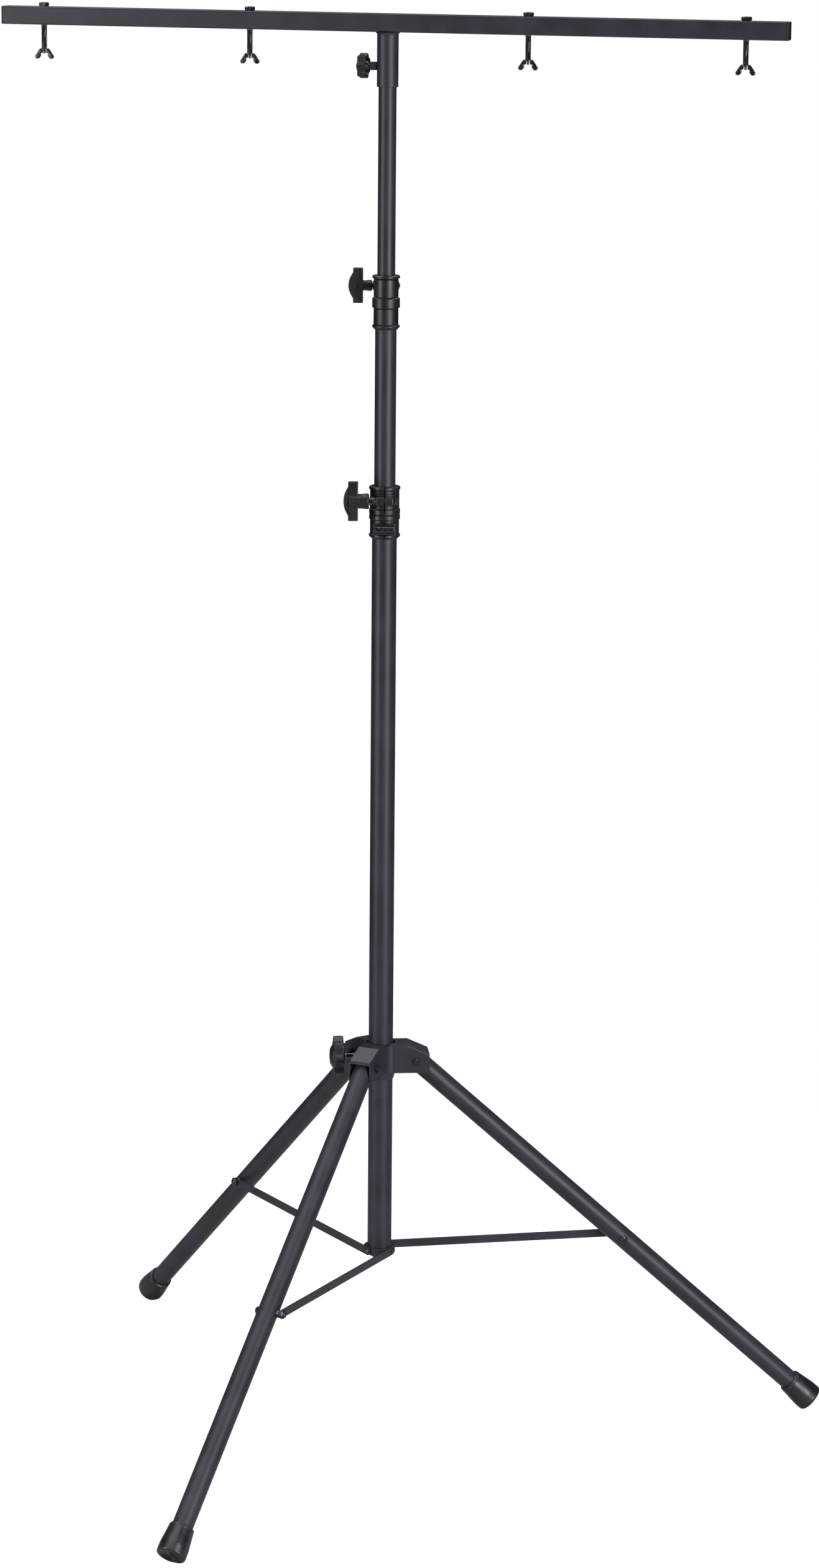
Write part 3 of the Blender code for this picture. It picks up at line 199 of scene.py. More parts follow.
# ---------------------------------------------------------------- node trees
class Number:
    """A number in a node tree: arithmetic on it adds Math nodes."""

    def __init__(self, tree, socket):
        self.tree = tree
        self.socket = socket

    def math(self, operation, *values, clamp=False):
        settings = {"operation": operation, "use_clamp": clamp}
        inputs = dict(enumerate((self,) + values))
        return Number(self.tree, self.tree.node("ShaderNodeMath", settings, inputs).outputs[0])

    def reflected(self, operation, value):
        inputs = {0: value, 1: self}
        node = self.tree.node("ShaderNodeMath", {"operation": operation}, inputs)
        return Number(self.tree, node.outputs[0])

    def __add__(self, value):
        return self.math("ADD", value)

    def __sub__(self, value):
        return self.math("SUBTRACT", value)

    def __rsub__(self, value):
        return self.reflected("SUBTRACT", value)

    def __mul__(self, value):
        return self.math("MULTIPLY", value)

    def __truediv__(self, value):
        return self.math("DIVIDE", value)

    __radd__ = __add__
    __rmul__ = __mul__

    def smooth(self, low, high):
        """0 at low and 1 at high, with a smooth rise between them."""
        inputs = {"Value": self, "From Min": low, "From Max": high}
        settings = {"interpolation_type": "SMOOTHSTEP"}
        return Number(self.tree, self.tree.node("ShaderNodeMapRange", settings, inputs).outputs[0])


class Tree:
    """Builds a node tree: node() takes a type, its settings and its sockets' values."""

    def __init__(self, tree):
        self.tree = tree

    def node(self, kind, settings=None, inputs=None):
        node = self.tree.nodes.new(kind)
        for name, value in (settings or {}).items():
            setattr(node, name, value)
        for name, value in (inputs or {}).items():
            self.feed(node.inputs[name], value)
        return node

    def feed(self, socket, value):
        if isinstance(value, Number):
            value = value.socket
        if isinstance(value, bpy.types.NodeSocket):
            self.tree.links.new(value, socket)
        else:
            socket.default_value = value

    def number(self, socket):
        return Number(self, socket)


def geometry_tree(name, sockets):
    """A Geometry Nodes tree with a mesh in and out, and named inputs."""
    group = bpy.data.node_groups.new(name, "GeometryNodeTree")
    group.interface.new_socket("Geometry", in_out="OUTPUT", socket_type="NodeSocketGeometry")
    group.interface.new_socket("Geometry", in_out="INPUT", socket_type="NodeSocketGeometry")
    for label, kind in sockets:
        group.interface.new_socket(label, in_out="INPUT", socket_type="NodeSocket" + kind)
    tree = Tree(group)
    given = tree.node("NodeGroupInput").outputs
    return tree, given


def close_tree(tree, given, mesh):
    real = tree.node("GeometryNodeRealizeInstances", inputs={"Geometry": mesh})
    painted = tree.node("GeometryNodeSetMaterial",
                        inputs={"Geometry": real.outputs[0], "Material": given["Material"]})
    tree.node("NodeGroupOutput", inputs={"Geometry": painted.outputs[0]})
    return tree.tree


def wave_tree():
    """Waves that run round a turned mesh: lobes, flutes, ripples or, with a twist, a thread."""
    tree, given = geometry_tree("waves_round_axis", [
        ("Waves", "Float"), ("Twist", "Float"), ("Depth", "Float"), ("Fade From", "Float"),
        ("Fade To", "Float"), ("Low", "Float"), ("High", "Float"), ("Material", "Material")])
    place = tree.node("GeometryNodeInputPosition")
    parts = tree.node("ShaderNodeSeparateXYZ", inputs={0: place.outputs[0]}).outputs
    x, y, z = (tree.number(parts[i]) for i in range(3))
    radius = (x * x + y * y).math("SQRT")
    angle = y.math("ARCTAN2", x)
    wave = (angle * given["Waves"] + z * given["Twist"]).math("COSINE")
    weight = radius.smooth(given["Fade From"], given["Fade To"])
    inside = z.math("GREATER_THAN", given["Low"]) * z.math("LESS_THAN", given["High"])
    cut = (1.0 - wave) * 0.5 * weight * inside * given["Depth"]
    share = cut / radius.math("MAXIMUM", MERGE) * -1.0
    offset = tree.node("ShaderNodeCombineXYZ", inputs={0: x * share, 1: y * share})
    moved = tree.node("GeometryNodeSetPosition",
                      inputs={"Geometry": given["Geometry"], "Offset": offset.outputs[0]})
    return close_tree(tree, given, moved.outputs[0])


def copies_tree():
    """A copy of one piece at each point, turned about Z by the point's own angle."""
    tree, given = geometry_tree("copies_on_points", [("Piece", "Object"), ("Material", "Material")])
    piece = tree.node("GeometryNodeObjectInfo", {"transform_space": "ORIGINAL"},
                      {"Object": given["Piece"]})
    turn = tree.node("GeometryNodeInputNamedAttribute", {"data_type": "FLOAT"}, {"Name": "turn"})
    spin = tree.node("ShaderNodeCombineXYZ", inputs={2: turn.outputs[0]})
    copies = tree.node("GeometryNodeInstanceOnPoints", inputs={
        "Points": given["Geometry"], "Instance": piece.outputs["Geometry"],
        "Rotation": spin.outputs[0]})
    return close_tree(tree, given, copies.outputs[0])


def rings_tree():
    """Moulded rings, each a little torus, spread evenly between two radii."""
    tree, given = geometry_tree("moulded_rings", [
        ("Rings", "Int"), ("Inner", "Float"), ("Outer", "Float"), ("Bead", "Float"),
        ("Material", "Material")])
    line = tree.node("GeometryNodeMeshLine", {"mode": "OFFSET"},
                     {"Count": given["Rings"], "Offset": (0.0, 0.0, 0.0)})
    index = tree.number(tree.node("GeometryNodeInputIndex").outputs[0])
    last = tree.number(given["Rings"]) - 1.0
    step = (tree.number(given["Outer"]) - given["Inner"]) / last
    size = index * step + given["Inner"]
    unit = tree.node("GeometryNodeCurvePrimitiveCircle", {"mode": "RADIUS"},
                     {"Resolution": TUBE_STEPS, "Radius": 1.0})
    copies = tree.node("GeometryNodeInstanceOnPoints", inputs={
        "Points": line.outputs[0], "Instance": unit.outputs[0],
        "Scale": tree.node("ShaderNodeCombineXYZ", inputs={0: size, 1: size, 2: 1.0}).outputs[0]})
    real = tree.node("GeometryNodeRealizeInstances", inputs={"Geometry": copies.outputs[0]})
    bead = tree.node("GeometryNodeCurvePrimitiveCircle", {"mode": "RADIUS"},
                     {"Resolution": 8, "Radius": given["Bead"]})
    mesh = tree.node("GeometryNodeCurveToMesh",
                     inputs={"Curve": real.outputs[0], "Profile Curve": bead.outputs[0]})
    both = tree.node("GeometryNodeJoinGeometry")
    tree.feed(both.inputs[0], mesh.outputs[0])
    tree.feed(both.inputs[0], given["Geometry"])
    return close_tree(tree, given, both.outputs[0])


TREES = {"waves": wave_tree, "copies": copies_tree, "rings": rings_tree}


def grow(obj, kind, **values):
    """Runs one of the trees on an object and keeps the plain mesh that it makes."""
    label = "stand_" + kind
    group = bpy.data.node_groups.get(label)
    if group is None:
        group = TREES[kind]()
        group.name = label
    modifier = obj.modifiers.new(kind, "NODES")
    modifier.node_group = group
    values["Material"] = obj.data.materials[0]
    for item in group.interface.items_tree:
        if item.in_out == "INPUT" and item.name in values:
            modifier[item.identifier] = values[item.name]
    bake(obj)


# ---------------------------------------------------------------- mesh helpers
def bake(obj):
    """Makes an object's modifiers part of its mesh, and takes them off."""
    bpy.context.view_layer.update()
    graph = bpy.context.evaluated_depsgraph_get()
    old = obj.data
    mesh = bpy.data.meshes.new_from_object(obj.evaluated_get(graph), depsgraph=graph)
    obj.modifiers.clear()
    obj.data = mesh
    bpy.data.meshes.remove(old)


def new_object(name, mesh):
    obj = bpy.data.objects.new(name, mesh)
    bpy.context.scene.collection.objects.link(obj)
    return obj


def drop(obj):
    mesh = obj.data
    bpy.data.objects.remove(obj, do_unlink=True)
    bpy.data.meshes.remove(mesh)


def rounded(points, radius=0.0, closed=True, step=18.0):
    """An outline whose corners are arcs. A point's third number is its own radius."""
    out = []
    count = len(points)
    for i, point in enumerate(points):
        own = point[2] if len(point) > 2 else radius
        corner = Vector(point[:2])
        if own <= 0 or (not closed and i in (0, count - 1)):
            out.append(tuple(corner))
            continue
        back = Vector(points[i - 1][:2]) - corner
        ahead = Vector(points[(i + 1) % count][:2]) - corner
        opening = back.angle(ahead)
        if opening > math.radians(178):
            out.append(tuple(corner))
            continue
        room = 0.49 * min(back.length, ahead.length)
        run = min(own / math.tan(opening / 2), room)
        real = run * math.tan(opening / 2)
        middle = corner + (back.normalized() + ahead.normalized()).normalized() * (
            real / math.sin(opening / 2))
        first = corner + back.normalized() * run - middle
        last = corner + ahead.normalized() * run - middle
        start = math.atan2(first.y, first.x)
        sweep = math.remainder(math.atan2(last.y, last.x) - start, 2 * math.pi)
        pieces = max(2, math.ceil(abs(math.degrees(sweep)) / step))
        for k in range(pieces + 1):
            angle = start + sweep * k / pieces
            out.append((middle.x + real * math.cos(angle), middle.y + real * math.sin(angle)))
    return out


def circle(radius, middle=(0.0, 0.0), steps=SMALL_STEPS):
    return [(middle[0] + radius * math.cos(2 * math.pi * i / steps),
             middle[1] + radius * math.sin(2 * math.pi * i / steps)) for i in range(steps)]


def hexagon(across):
    corner = across / 2 / math.cos(math.radians(30))
    return circle(corner, steps=6)


def closed_mesh(bm, name):
    bmesh.ops.remove_doubles(bm, verts=bm.verts, dist=MERGE)
    bmesh.ops.dissolve_degenerate(bm, edges=bm.edges, dist=MERGE / 10)
    bmesh.ops.recalc_face_normals(bm, faces=bm.faces)
    mesh = bpy.data.meshes.new(name)
    bm.to_mesh(mesh)
    bm.free()
    return mesh


def lathe(name, profile, steps=SMALL_STEPS):
    """A turned solid about Z. The profile is (radius, z); it closes on the axis or on itself."""
    bm = bmesh.new()
    vertices = [bm.verts.new((radius, 0, z)) for radius, z in profile]
    edges = [bm.edges.new(pair) for pair in zip(vertices, vertices[1:])]
    if min(profile[0][0], profile[-1][0]) > MERGE:
        edges.append(bm.edges.new((vertices[-1], vertices[0])))
    bmesh.ops.spin(bm, geom=vertices + edges, cent=(0, 0, 0), axis=(0, 0, 1),
                   angle=2 * math.pi, steps=steps, use_merge=True)
    return new_object(name, closed_mesh(bm, name))


def ring(name, outer, inner, low, high, edge=0.0003, steps=TUBE_STEPS):
    return lathe(name, rounded([(outer, high), (outer, low), (inner, low), (inner, high)], edge),
                 steps)


def rod(name, radius, low, high, edge=0.0, steps=SMALL_STEPS):
    corners = [(0, high), (radius, high), (radius, low), (0, low)]
    return lathe(name, rounded(corners, edge, closed=False), steps)


def plate(name, outlines, thickness, edge=0.0, turn=None):
    """A flat outline in the XY plane, with holes, made thickness deep about that plane.

    edge rounds its rims. turn stands it up."""
    curve = bpy.data.curves.new(name, "CURVE")
    curve.dimensions = "2D"
    curve.fill_mode = "BOTH"
    curve.extrude = thickness / 2 - edge
    curve.bevel_depth = edge
    curve.bevel_resolution = 2
    curve.offset = -edge
    for outline in outlines:
        spline = curve.splines.new("POLY")
        spline.points.add(len(outline) - 1)
        for point, (x, y) in zip(spline.points, outline):
            point.co = (x, y, 0, 1)
        spline.use_cyclic_u = True
    holder = new_object(name, curve)
    graph = bpy.context.evaluated_depsgraph_get()
    flat = bpy.data.meshes.new_from_object(holder.evaluated_get(graph))
    bpy.data.objects.remove(holder, do_unlink=True)
    bpy.data.curves.remove(curve)
    bm = bmesh.new()
    bm.from_mesh(flat)
    bpy.data.meshes.remove(flat)
    obj = new_object(name, closed_mesh(bm, name))
    return move(obj, turn) if turn else obj


def block(name, low, high, edge=0.0):
    """A box between two corners with rounded edges."""
    low, high = Vector(low), Vector(high)
    bm = bmesh.new()
    size = Matrix.Diagonal((*(high - low), 1.0))
    bmesh.ops.create_cube(bm, size=1.0, matrix=Matrix.Translation((low + high) / 2) @ size)
    if edge:
        bmesh.ops.bevel(bm, geom=bm.edges[:], offset=edge, segments=3, profile=0.5,
                        affect="EDGES")
    return new_object(name, closed_mesh(bm, name))


def move(obj, matrix):
    obj.data.transform(matrix)
    obj.data.update()
    return obj


def copy(obj, matrix):
    return move(new_object(obj.name, obj.data.copy()), matrix)


def boolean(obj, tool, operation):
    modifier = obj.modifiers.new("boolean", "BOOLEAN")
    modifier.operation = operation
    modifier.solver = "EXACT"
    modifier.object = tool
    bake(obj)
    drop(tool)
    return obj


def cut(obj, *tools):
    for tool in tools:
        boolean(obj, tool, "DIFFERENCE")
    return obj


def add(obj, *tools):
    for tool in tools:
        boolean(obj, tool, "UNION")
    return obj


def keep(obj, tool):
    return boolean(obj, tool, "INTERSECT")


def shade(obj, angle=38.0):
    """Smooth shading with crisp edges, and flat faces that stay flat beside roundings."""
    obj.data.shade_smooth()
    obj.data.set_sharp_from_angle(angle=math.radians(angle))
    weighted = obj.modifiers.new("weighted", "WEIGHTED_NORMAL")
    weighted.keep_sharp = True
    bake(obj)
    return obj


# ---------------------------------------------------------------- places in the frame
class Span:
    """How far a CAD node reaches in a frame: along its Z axis, and out from it."""

    def __init__(self, node, place):
        local = place.inverted()
        points = [local @ vertex.co for vertex in frame["nodes"][node].data.vertices]
        radii = [math.hypot(point.x, point.y) for point in points]
        self.low = min(point.z for point in points)
        self.high = max(point.z for point in points)
        self.inner = min(radii)
        self.outer = max(radii)


def box_middle(node):
    low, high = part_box(node)
    return (low + high) / 2


def joint(name):
    for entry in frame["joints"]:
        if entry["name"] == name:
            return entry
    raise ValueError("the frame has no joint named " + name)


def placed(origin, z_axis, y_axis):
    z = Vector(z_axis).normalized()
    y = (Vector(y_axis) - z * z.dot(Vector(y_axis))).normalized()
    matrix = Matrix((y.cross(z), y, z)).transposed().to_4x4()
    matrix.translation = Vector(origin)
    return matrix


def knob_place(name):
    turn = joint(name + "_turn")
    return placed(turn["pos_m"], turn["axis"], Z_AXIS)


def leg_place(name):
    """Frame at a leg's pivot: Z runs down the leg and Y along the pivot."""
    fold = joint("leg_" + name + "_fold")
    down = box_middle("leg_" + name) - Vector(fold["pos_m"])
    return placed(fold["pos_m"], down, fold["axis"]), Vector(fold["axis"])


def azimuth(side):
    """Direction round the mast that is square to a pivot's axis."""
    out = Vector(side).cross(Z_AXIS)
    return math.atan2(out.y, out.x)


def leg_sides():
    """The three legs' directions round the mast."""
    return [azimuth(leg_place(name)[1]) for name in LEGS]


def across_flats(span):
    """A hexagon's width over its flats, from how far its corners reach."""
    return 2 * span.outer * math.cos(math.radians(30))


MAST = Matrix.Translation((box_middle("base_tube").x, box_middle("base_tube").y, 0))
PIVOT_HEIGHT = joint("leg_right_fold")["pos_m"][2]
HUB = MAST @ Matrix.Translation((0, 0, PIVOT_HEIGHT))
BODY = {node: body for body, nodes in frame["record"]["behaviour"]["bodies"].items()
        for node in nodes}
SLOT = {part["node"]: part["material_slot"] for part in frame["record"]["subparts"]}


def settle(obj, nodes, place=None):
    """Puts a finished piece in its place, in its finish, on the body of the node it is for."""
    if place is not None:
        move(obj, place)
    slot = SLOT[nodes[0]]
    obj.data.materials.clear()
    obj.data.materials.append(finish(slot))
    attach(obj, BODY[nodes[0]])
    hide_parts(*nodes)
    return obj


# ---------------------------------------------------------------- finishes
class Finish(Tree):
    """A material whose patterns lie on the piece's own coordinates."""

    def __init__(self, name, metallic=0.0, specular=0.5):
        self.material = bpy.data.materials.new(name)
        self.material.use_nodes = True
        super().__init__(self.material.node_tree)
        self.shader = self.tree.nodes["Principled BSDF"]
        self.shader.inputs["Metallic"].default_value = metallic
        self.shader.inputs["Specular IOR Level"].default_value = specular
        self.place = self.node("ShaderNodeTexCoord").outputs["Object"]

    def noise(self, size, detail=3.0, stretch=None):
        """Noise whose features are size across; stretch lengthens them along an axis."""
        place = self.place
        if stretch:
            place = self.node("ShaderNodeMapping", inputs={
                "Vector": place, "Scale": [1 / s for s in stretch]}).outputs[0]
        node = self.node("ShaderNodeTexNoise", inputs={
            "Vector": place, "Scale": 1 / size, "Detail": detail})
        return self.number(node.outputs[0])

    def edges(self, radius):
        """1 along sharp edges and 0 on the flat, from how far a rounded normal turns."""
        round_normal = self.node("ShaderNodeBevel", {"samples": 4}, {"Radius": radius})
        normal = self.node("ShaderNodeNewGeometry").outputs["Normal"]
        dot = self.node("ShaderNodeVectorMath", {"operation": "DOT_PRODUCT"},
                        {0: round_normal.outputs[0], 1: normal})
        return (1.0 - self.number(dot.outputs["Value"])).smooth(0.01, 0.16)

    def mix(self, amount, first, second):
        node = self.node("ShaderNodeMix", {"data_type": "RGBA"}, {
            "Factor": amount, 6: (*first, 1.0) if isinstance(first, tuple) else first,
            7: (*second, 1.0) if isinstance(second, tuple) else second})
        return node.outputs[2]

    def bump(self, height, distance, strength=1.0):
        node = self.node("ShaderNodeBump", inputs={
            "Height": height, "Distance": distance, "Strength": strength})
        self.feed(self.shader.inputs["Normal"], node.outputs[0])

    def set(self, **sockets):
        for name, value in sockets.items():
            self.feed(self.shader.inputs[name.replace("_", " ").title()], value)


def shades(base, dark, light):
    return tuple(c * dark for c in base), tuple(c * light for c in base)


def powder_coat():
    look = bpy.context.scene.stand_finish
    paint = Finish("powder_coat", specular=0.40)
    grain = paint.noise(look.coat_grain, 2.0)
    mottle = paint.noise(0.045, 4.0)
    rubs = paint.noise(0.0022, 3.0, stretch=(1.0, 1.0, 26.0))
    worn = paint.edges(0.0006) * paint.noise(0.004, 3.0).smooth(0.46, 0.62) * look.wear
    dark, light = shades(look.coat, 0.80, 1.24)
    color_now = paint.mix(mottle.smooth(0.3, 0.7), dark, light)
    color_now = paint.mix(grain.smooth(0.62, 0.8) * 0.35, color_now, shades(look.coat, 1, 1.9)[1])
    color_now = paint.mix(worn, color_now, (0.15, 0.145, 0.15))
    rough = look.coat_gloss + (mottle - 0.5) * 0.10 + (grain - 0.5) * 0.14
    rough = rough - rubs.smooth(0.60, 0.78) * 0.05
    paint.set(base_color=color_now, roughness=rough)
    paint.bump(grain + paint.noise(look.coat_grain * 3.5, 1.0), 0.00006)
    return paint.material


def plastic():
    look = bpy.context.scene.stand_finish
    moulded = Finish("plastic", specular=0.45)
    spark = moulded.noise(0.00055, 2.0)
    flow = moulded.noise(0.012, 3.0, stretch=(1.0, 1.0, 2.5))
    worn = moulded.edges(0.0007) * moulded.noise(0.003, 3.0).smooth(0.42, 0.66) * look.wear
    dark, light = shades(look.plastic, 0.75, 1.5)
    color_now = moulded.mix(flow.smooth(0.3, 0.7), dark, light)
    color_now = moulded.mix(worn, color_now, (0.075, 0.072, 0.075))
    rough = look.plastic_gloss + (flow - 0.5) * 0.22 + (spark - 0.5) * 0.16
    moulded.set(base_color=color_now, roughness=rough)
    moulded.bump(spark + flow * 0.8, 0.00005)
    return moulded.material


def rubber():
    look = bpy.context.scene.stand_finish
    foot = Finish("rubber", specular=0.5)
    skin = foot.noise(0.0007, 3.0)
    cloud = foot.noise(0.016, 4.0)
    dust = foot.noise(0.0026, 4.0).smooth(0.55, 0.75) * cloud.smooth(0.35, 0.7)
    dark, light = shades(look.rubber, 0.8, 1.35)
    color_now = foot.mix(cloud.smooth(0.3, 0.7), dark, light)
    color_now = foot.mix(dust * 0.20, color_now, (0.10, 0.095, 0.09))
    rough = look.rubber_gloss + (cloud - 0.5) * 0.24 + dust * 0.25
    foot.set(base_color=color_now, roughness=rough)
    foot.bump(skin + cloud * 0.6, 0.00006)
    return foot.material


def black_steel():
    look = bpy.context.scene.stand_finish
    steel = Finish("black_steel", metallic=0.85, specular=0.5)
    stain = steel.noise(0.003, 4.0)
    grit = steel.noise(0.0003, 2.0)
    worn = steel.edges(0.0004) * steel.noise(0.0012, 3.0).smooth(0.4, 0.65)
    dark, light = shades(look.steel, 0.8, 2.0)
    color_now = steel.mix(stain.smooth(0.3, 0.7), dark, light)
    color_now = steel.mix(worn * look.wear, color_now, (0.33, 0.32, 0.33))
    rough = look.steel_gloss + (stain - 0.5) * 0.30 - worn * 0.08
    steel.set(base_color=color_now, roughness=rough)
    steel.bump(grit, 0.00003)
    return steel.material


def zinc():
    look = bpy.context.scene.stand_finish
    plating = Finish("zinc", metallic=1.0, specular=0.5)
    cloud = plating.noise(0.0035, 4.0)
    turning = plating.noise(0.0003, 2.0)
    dark, light = shades(look.zinc, 0.72, 1.18)
    color_now = plating.mix(cloud.smooth(0.3, 0.7), dark, light)
    color_now = plating.mix(cloud.smooth(0.62, 0.8) * 0.3, color_now, (0.55, 0.52, 0.36))
    plating.set(base_color=color_now, roughness=look.zinc_gloss + (cloud - 0.5) * 0.3)
    plating.bump(turning, 0.00003)
    return plating.material


def nylon():
    look = bpy.context.scene.stand_finish
    bush = Finish("nylon", specular=0.45)
    cloud = bush.noise(0.006, 3.0)
    polish = bush.noise(0.0015, 2.0, stretch=(1.0, 1.0, 14.0))
    dark, light = shades(look.nylon, 0.8, 1.4)
    color_now = bush.mix(cloud, dark, light)
    rough = 0.40 + (cloud - 0.5) * 0.2 - polish.smooth(0.5, 0.7) * 0.12
    bush.set(base_color=color_now, roughness=rough)
    bush.bump(polish, 0.00003)
    return bush.material


FINISHES = {"powder_coat": powder_coat, "plastic": plastic, "rubber": rubber,
            "black_steel": black_steel, "zinc": zinc, "nylon": nylon}


def finish(slot):
    made = bpy.data.materials.get(slot)
    if made is None or not made.use_fake_user:
        made = FINISHES[slot]()
        made.name = slot
        made.use_fake_user = True
    return made


# ---------------------------------------------------------------- shared shapes
def hex_piece(name, across, low, high, bore=0.0, chamfer=0.0010):
    """A hexagon with turned chamfers, for bolt heads and nuts, and a hole if it has a bore."""
    outlines = [hexagon(across)]
    if bore:
        outlines.append(circle(bore, steps=36))
    middle = (low + high) / 2
    body = plate(name, outlines, high - low, turn=Matrix.Translation((0, 0, middle)))
    corner = across / 2 / math.cos(math.radians(30)) + 0.0002
    side = across / 2 - 0.0003
    cone = [(0, high), (side, high), (corner, high - chamfer), (corner, low + chamfer),
            (side, low), (0, low)]
    return keep(body, lathe(name + "_cone", cone, 96))


def button_head(name, radius, seat, height):
    """A low round screw head with a hexagon socket; it stands up along Z from seat."""
    dome = [(0, seat + height), (radius * 0.50, seat + height * 0.97),
            (radius * 0.80, seat + height * 0.68), (radius * 0.97, seat + height * 0.28),
            (radius, seat), (0, seat)]
    head = lathe(name, rounded(dome, 0.0006, closed=False))
    socket = plate(name + "_socket", [hexagon(radius * 0.75)], height,
                   turn=Matrix.Translation((0, 0, seat + height)))
    return cut(head, socket)


def threaded(radius, low, high, pitch):
    """Profile points up a threaded stretch, enough of them for the thread's waves."""
    count = max(2, math.ceil((high - low) / pitch * 4))
    return [(radius, high + (low - high) * i / count) for i in range(count + 1)]


def cut_thread(obj, low, high):
    """Cuts a thread into a turned piece between two heights of its own axis."""
    shape = bpy.context.scene.stand_shape
    grow(obj, "waves", Waves=1.0, Twist=2 * math.pi / shape.thread_pitch,
         Depth=shape.thread_depth, **{"Fade From": 0.0008, "Fade To": 0.0022,
                                      "Low": low, "High": high})


def screw_piece(name, profile, low, high, slot="zinc"):
    """A turned screw with a thread between two heights. The profile goes from top to bottom."""
    pitch = bpy.context.scene.stand_shape.thread_pitch
    points = []
    for point in profile:
        if len(point) == 2:
            points.append(point)
        else:
            points += threaded(*point, pitch)
    screw = lathe(name, points, 36)
    screw.data.materials.append(finish(slot))
    cut_thread(screw, low, high)
    return screw


# ---------------------------------------------------------------- operators
class StandOperator(bpy.types.Operator):
    """Makes one group of the stand's pieces."""

    bl_options = {"REGISTER", "UNDO"}

    def execute(self, context):
        self.build(context.scene.stand_shape)
        return {"FINISHED"}


class MakeMast(StandOperator):
    """Three steel tubes of the mast, with rounded cut ends"""

    bl_idname = "stand.make_mast"
    bl_label = "Mast tubes"

    def build(self, shape):
        for node in ("base_tube", "mid_tube", "top_tube"):
            size = Span(node, MAST)
            tube = ring(node + "_steel", size.outer, size.outer - TUBE_WALL, size.low,
                        size.high, TUBE_EDGE)
            settle(shade(tube), [node], MAST)
        for node in ("lower_clamp_bush", "upper_clamp_bush"):
            size = Span(node, MAST)
            bush = ring(node + "_nylon", size.outer, size.inner, size.low, size.high)
            settle(shade(bush), [node], MAST)


def clamp_frame(prefix):
    """Frame on the mast at a clamp's lower end, with -Y towards its lugs."""
    knob = joint(prefix + "_knob_turn")
    away = Vector(knob["pos_m"]) - MAST.translation
    low = Span(prefix + "_clamp", MAST).low
    origin = MAST.translation + Z_AXIS * low
    return placed(origin, Z_AXIS, (-away.x, -away.y, 0)), math.hypot(away.x, away.y)


def lower_outline(body, top):
    """Outside of the lower clamp: beaded rim, grooves, two ribs over the pin, ring at its foot."""
    rim, rib, groove = body + 0.0012, body + 0.0010, body - 0.0010
    plain, pin_band = body - 0.0001, body - 0.0003
    return [(body - 0.0012, top, 0.0005), (rim, top - 0.0006, 0.0012), (rim, top - 0.0044, 0.0012),
            (groove, top - 0.0052, 0.0003), (body, top - 0.0060, 0.0006),
            (body, top - 0.0086, 0.0006), (groove, top - 0.0093, 0.0003),
            (plain, top - 0.0100, 0.0006), (plain, 0.0436, 0.0004), (groove, 0.0430, 0.0003),
            (rib, 0.0422, 0.0008), (rib, 0.0352, 0.0010), (groove, 0.0344, 0.0003),
            (rib, 0.0336, 0.0008), (rib, 0.0278, 0.0008), (pin_band, 0.0268, 0.0004),
            (pin_band, 0.0074, 0.0004), (groove, 0.0069, 0.0003), (rim, 0.0062, 0.0007),
            (rim, 0.0030, 0.0009), (body - 0.0010, 0.0014, 0.0006), (body - 0.0021, 0, 0.0004)]


def upper_outline(body, top):
    """Outside of the upper clamp: thin rim, plain body, wide band and a flange at its foot."""
    rim, plain, groove = body + 0.0011, body - 0.0009, body - 0.0016
    return [(rim - 0.0010, top, 0.0005), (rim, top - 0.0008, 0.0008), (rim, top - 0.0032, 0.0008),
            (plain, top - 0.0046, 0.0004), (groove, top - 0.0052, 0.0002),
            (plain, top - 0.0058, 0.0003), (plain, 0.0458, 0.0002), (groove, 0.0450, 0.0002),
            (rim, 0.0436, 0.0008), (rim, 0.0306, 0.0008), (groove, 0.0294, 0.0002),
            (plain, 0.0286, 0.0002), (plain, 0.0076, 0.0002), (groove, 0.0069, 0.0002),
            (rim, 0.0058, 0.0008), (rim, 0.0038, 0.0008), (body - 0.0010, 0.0014, 0.0006),
            (body - 0.0021, 0, 0.0004)]


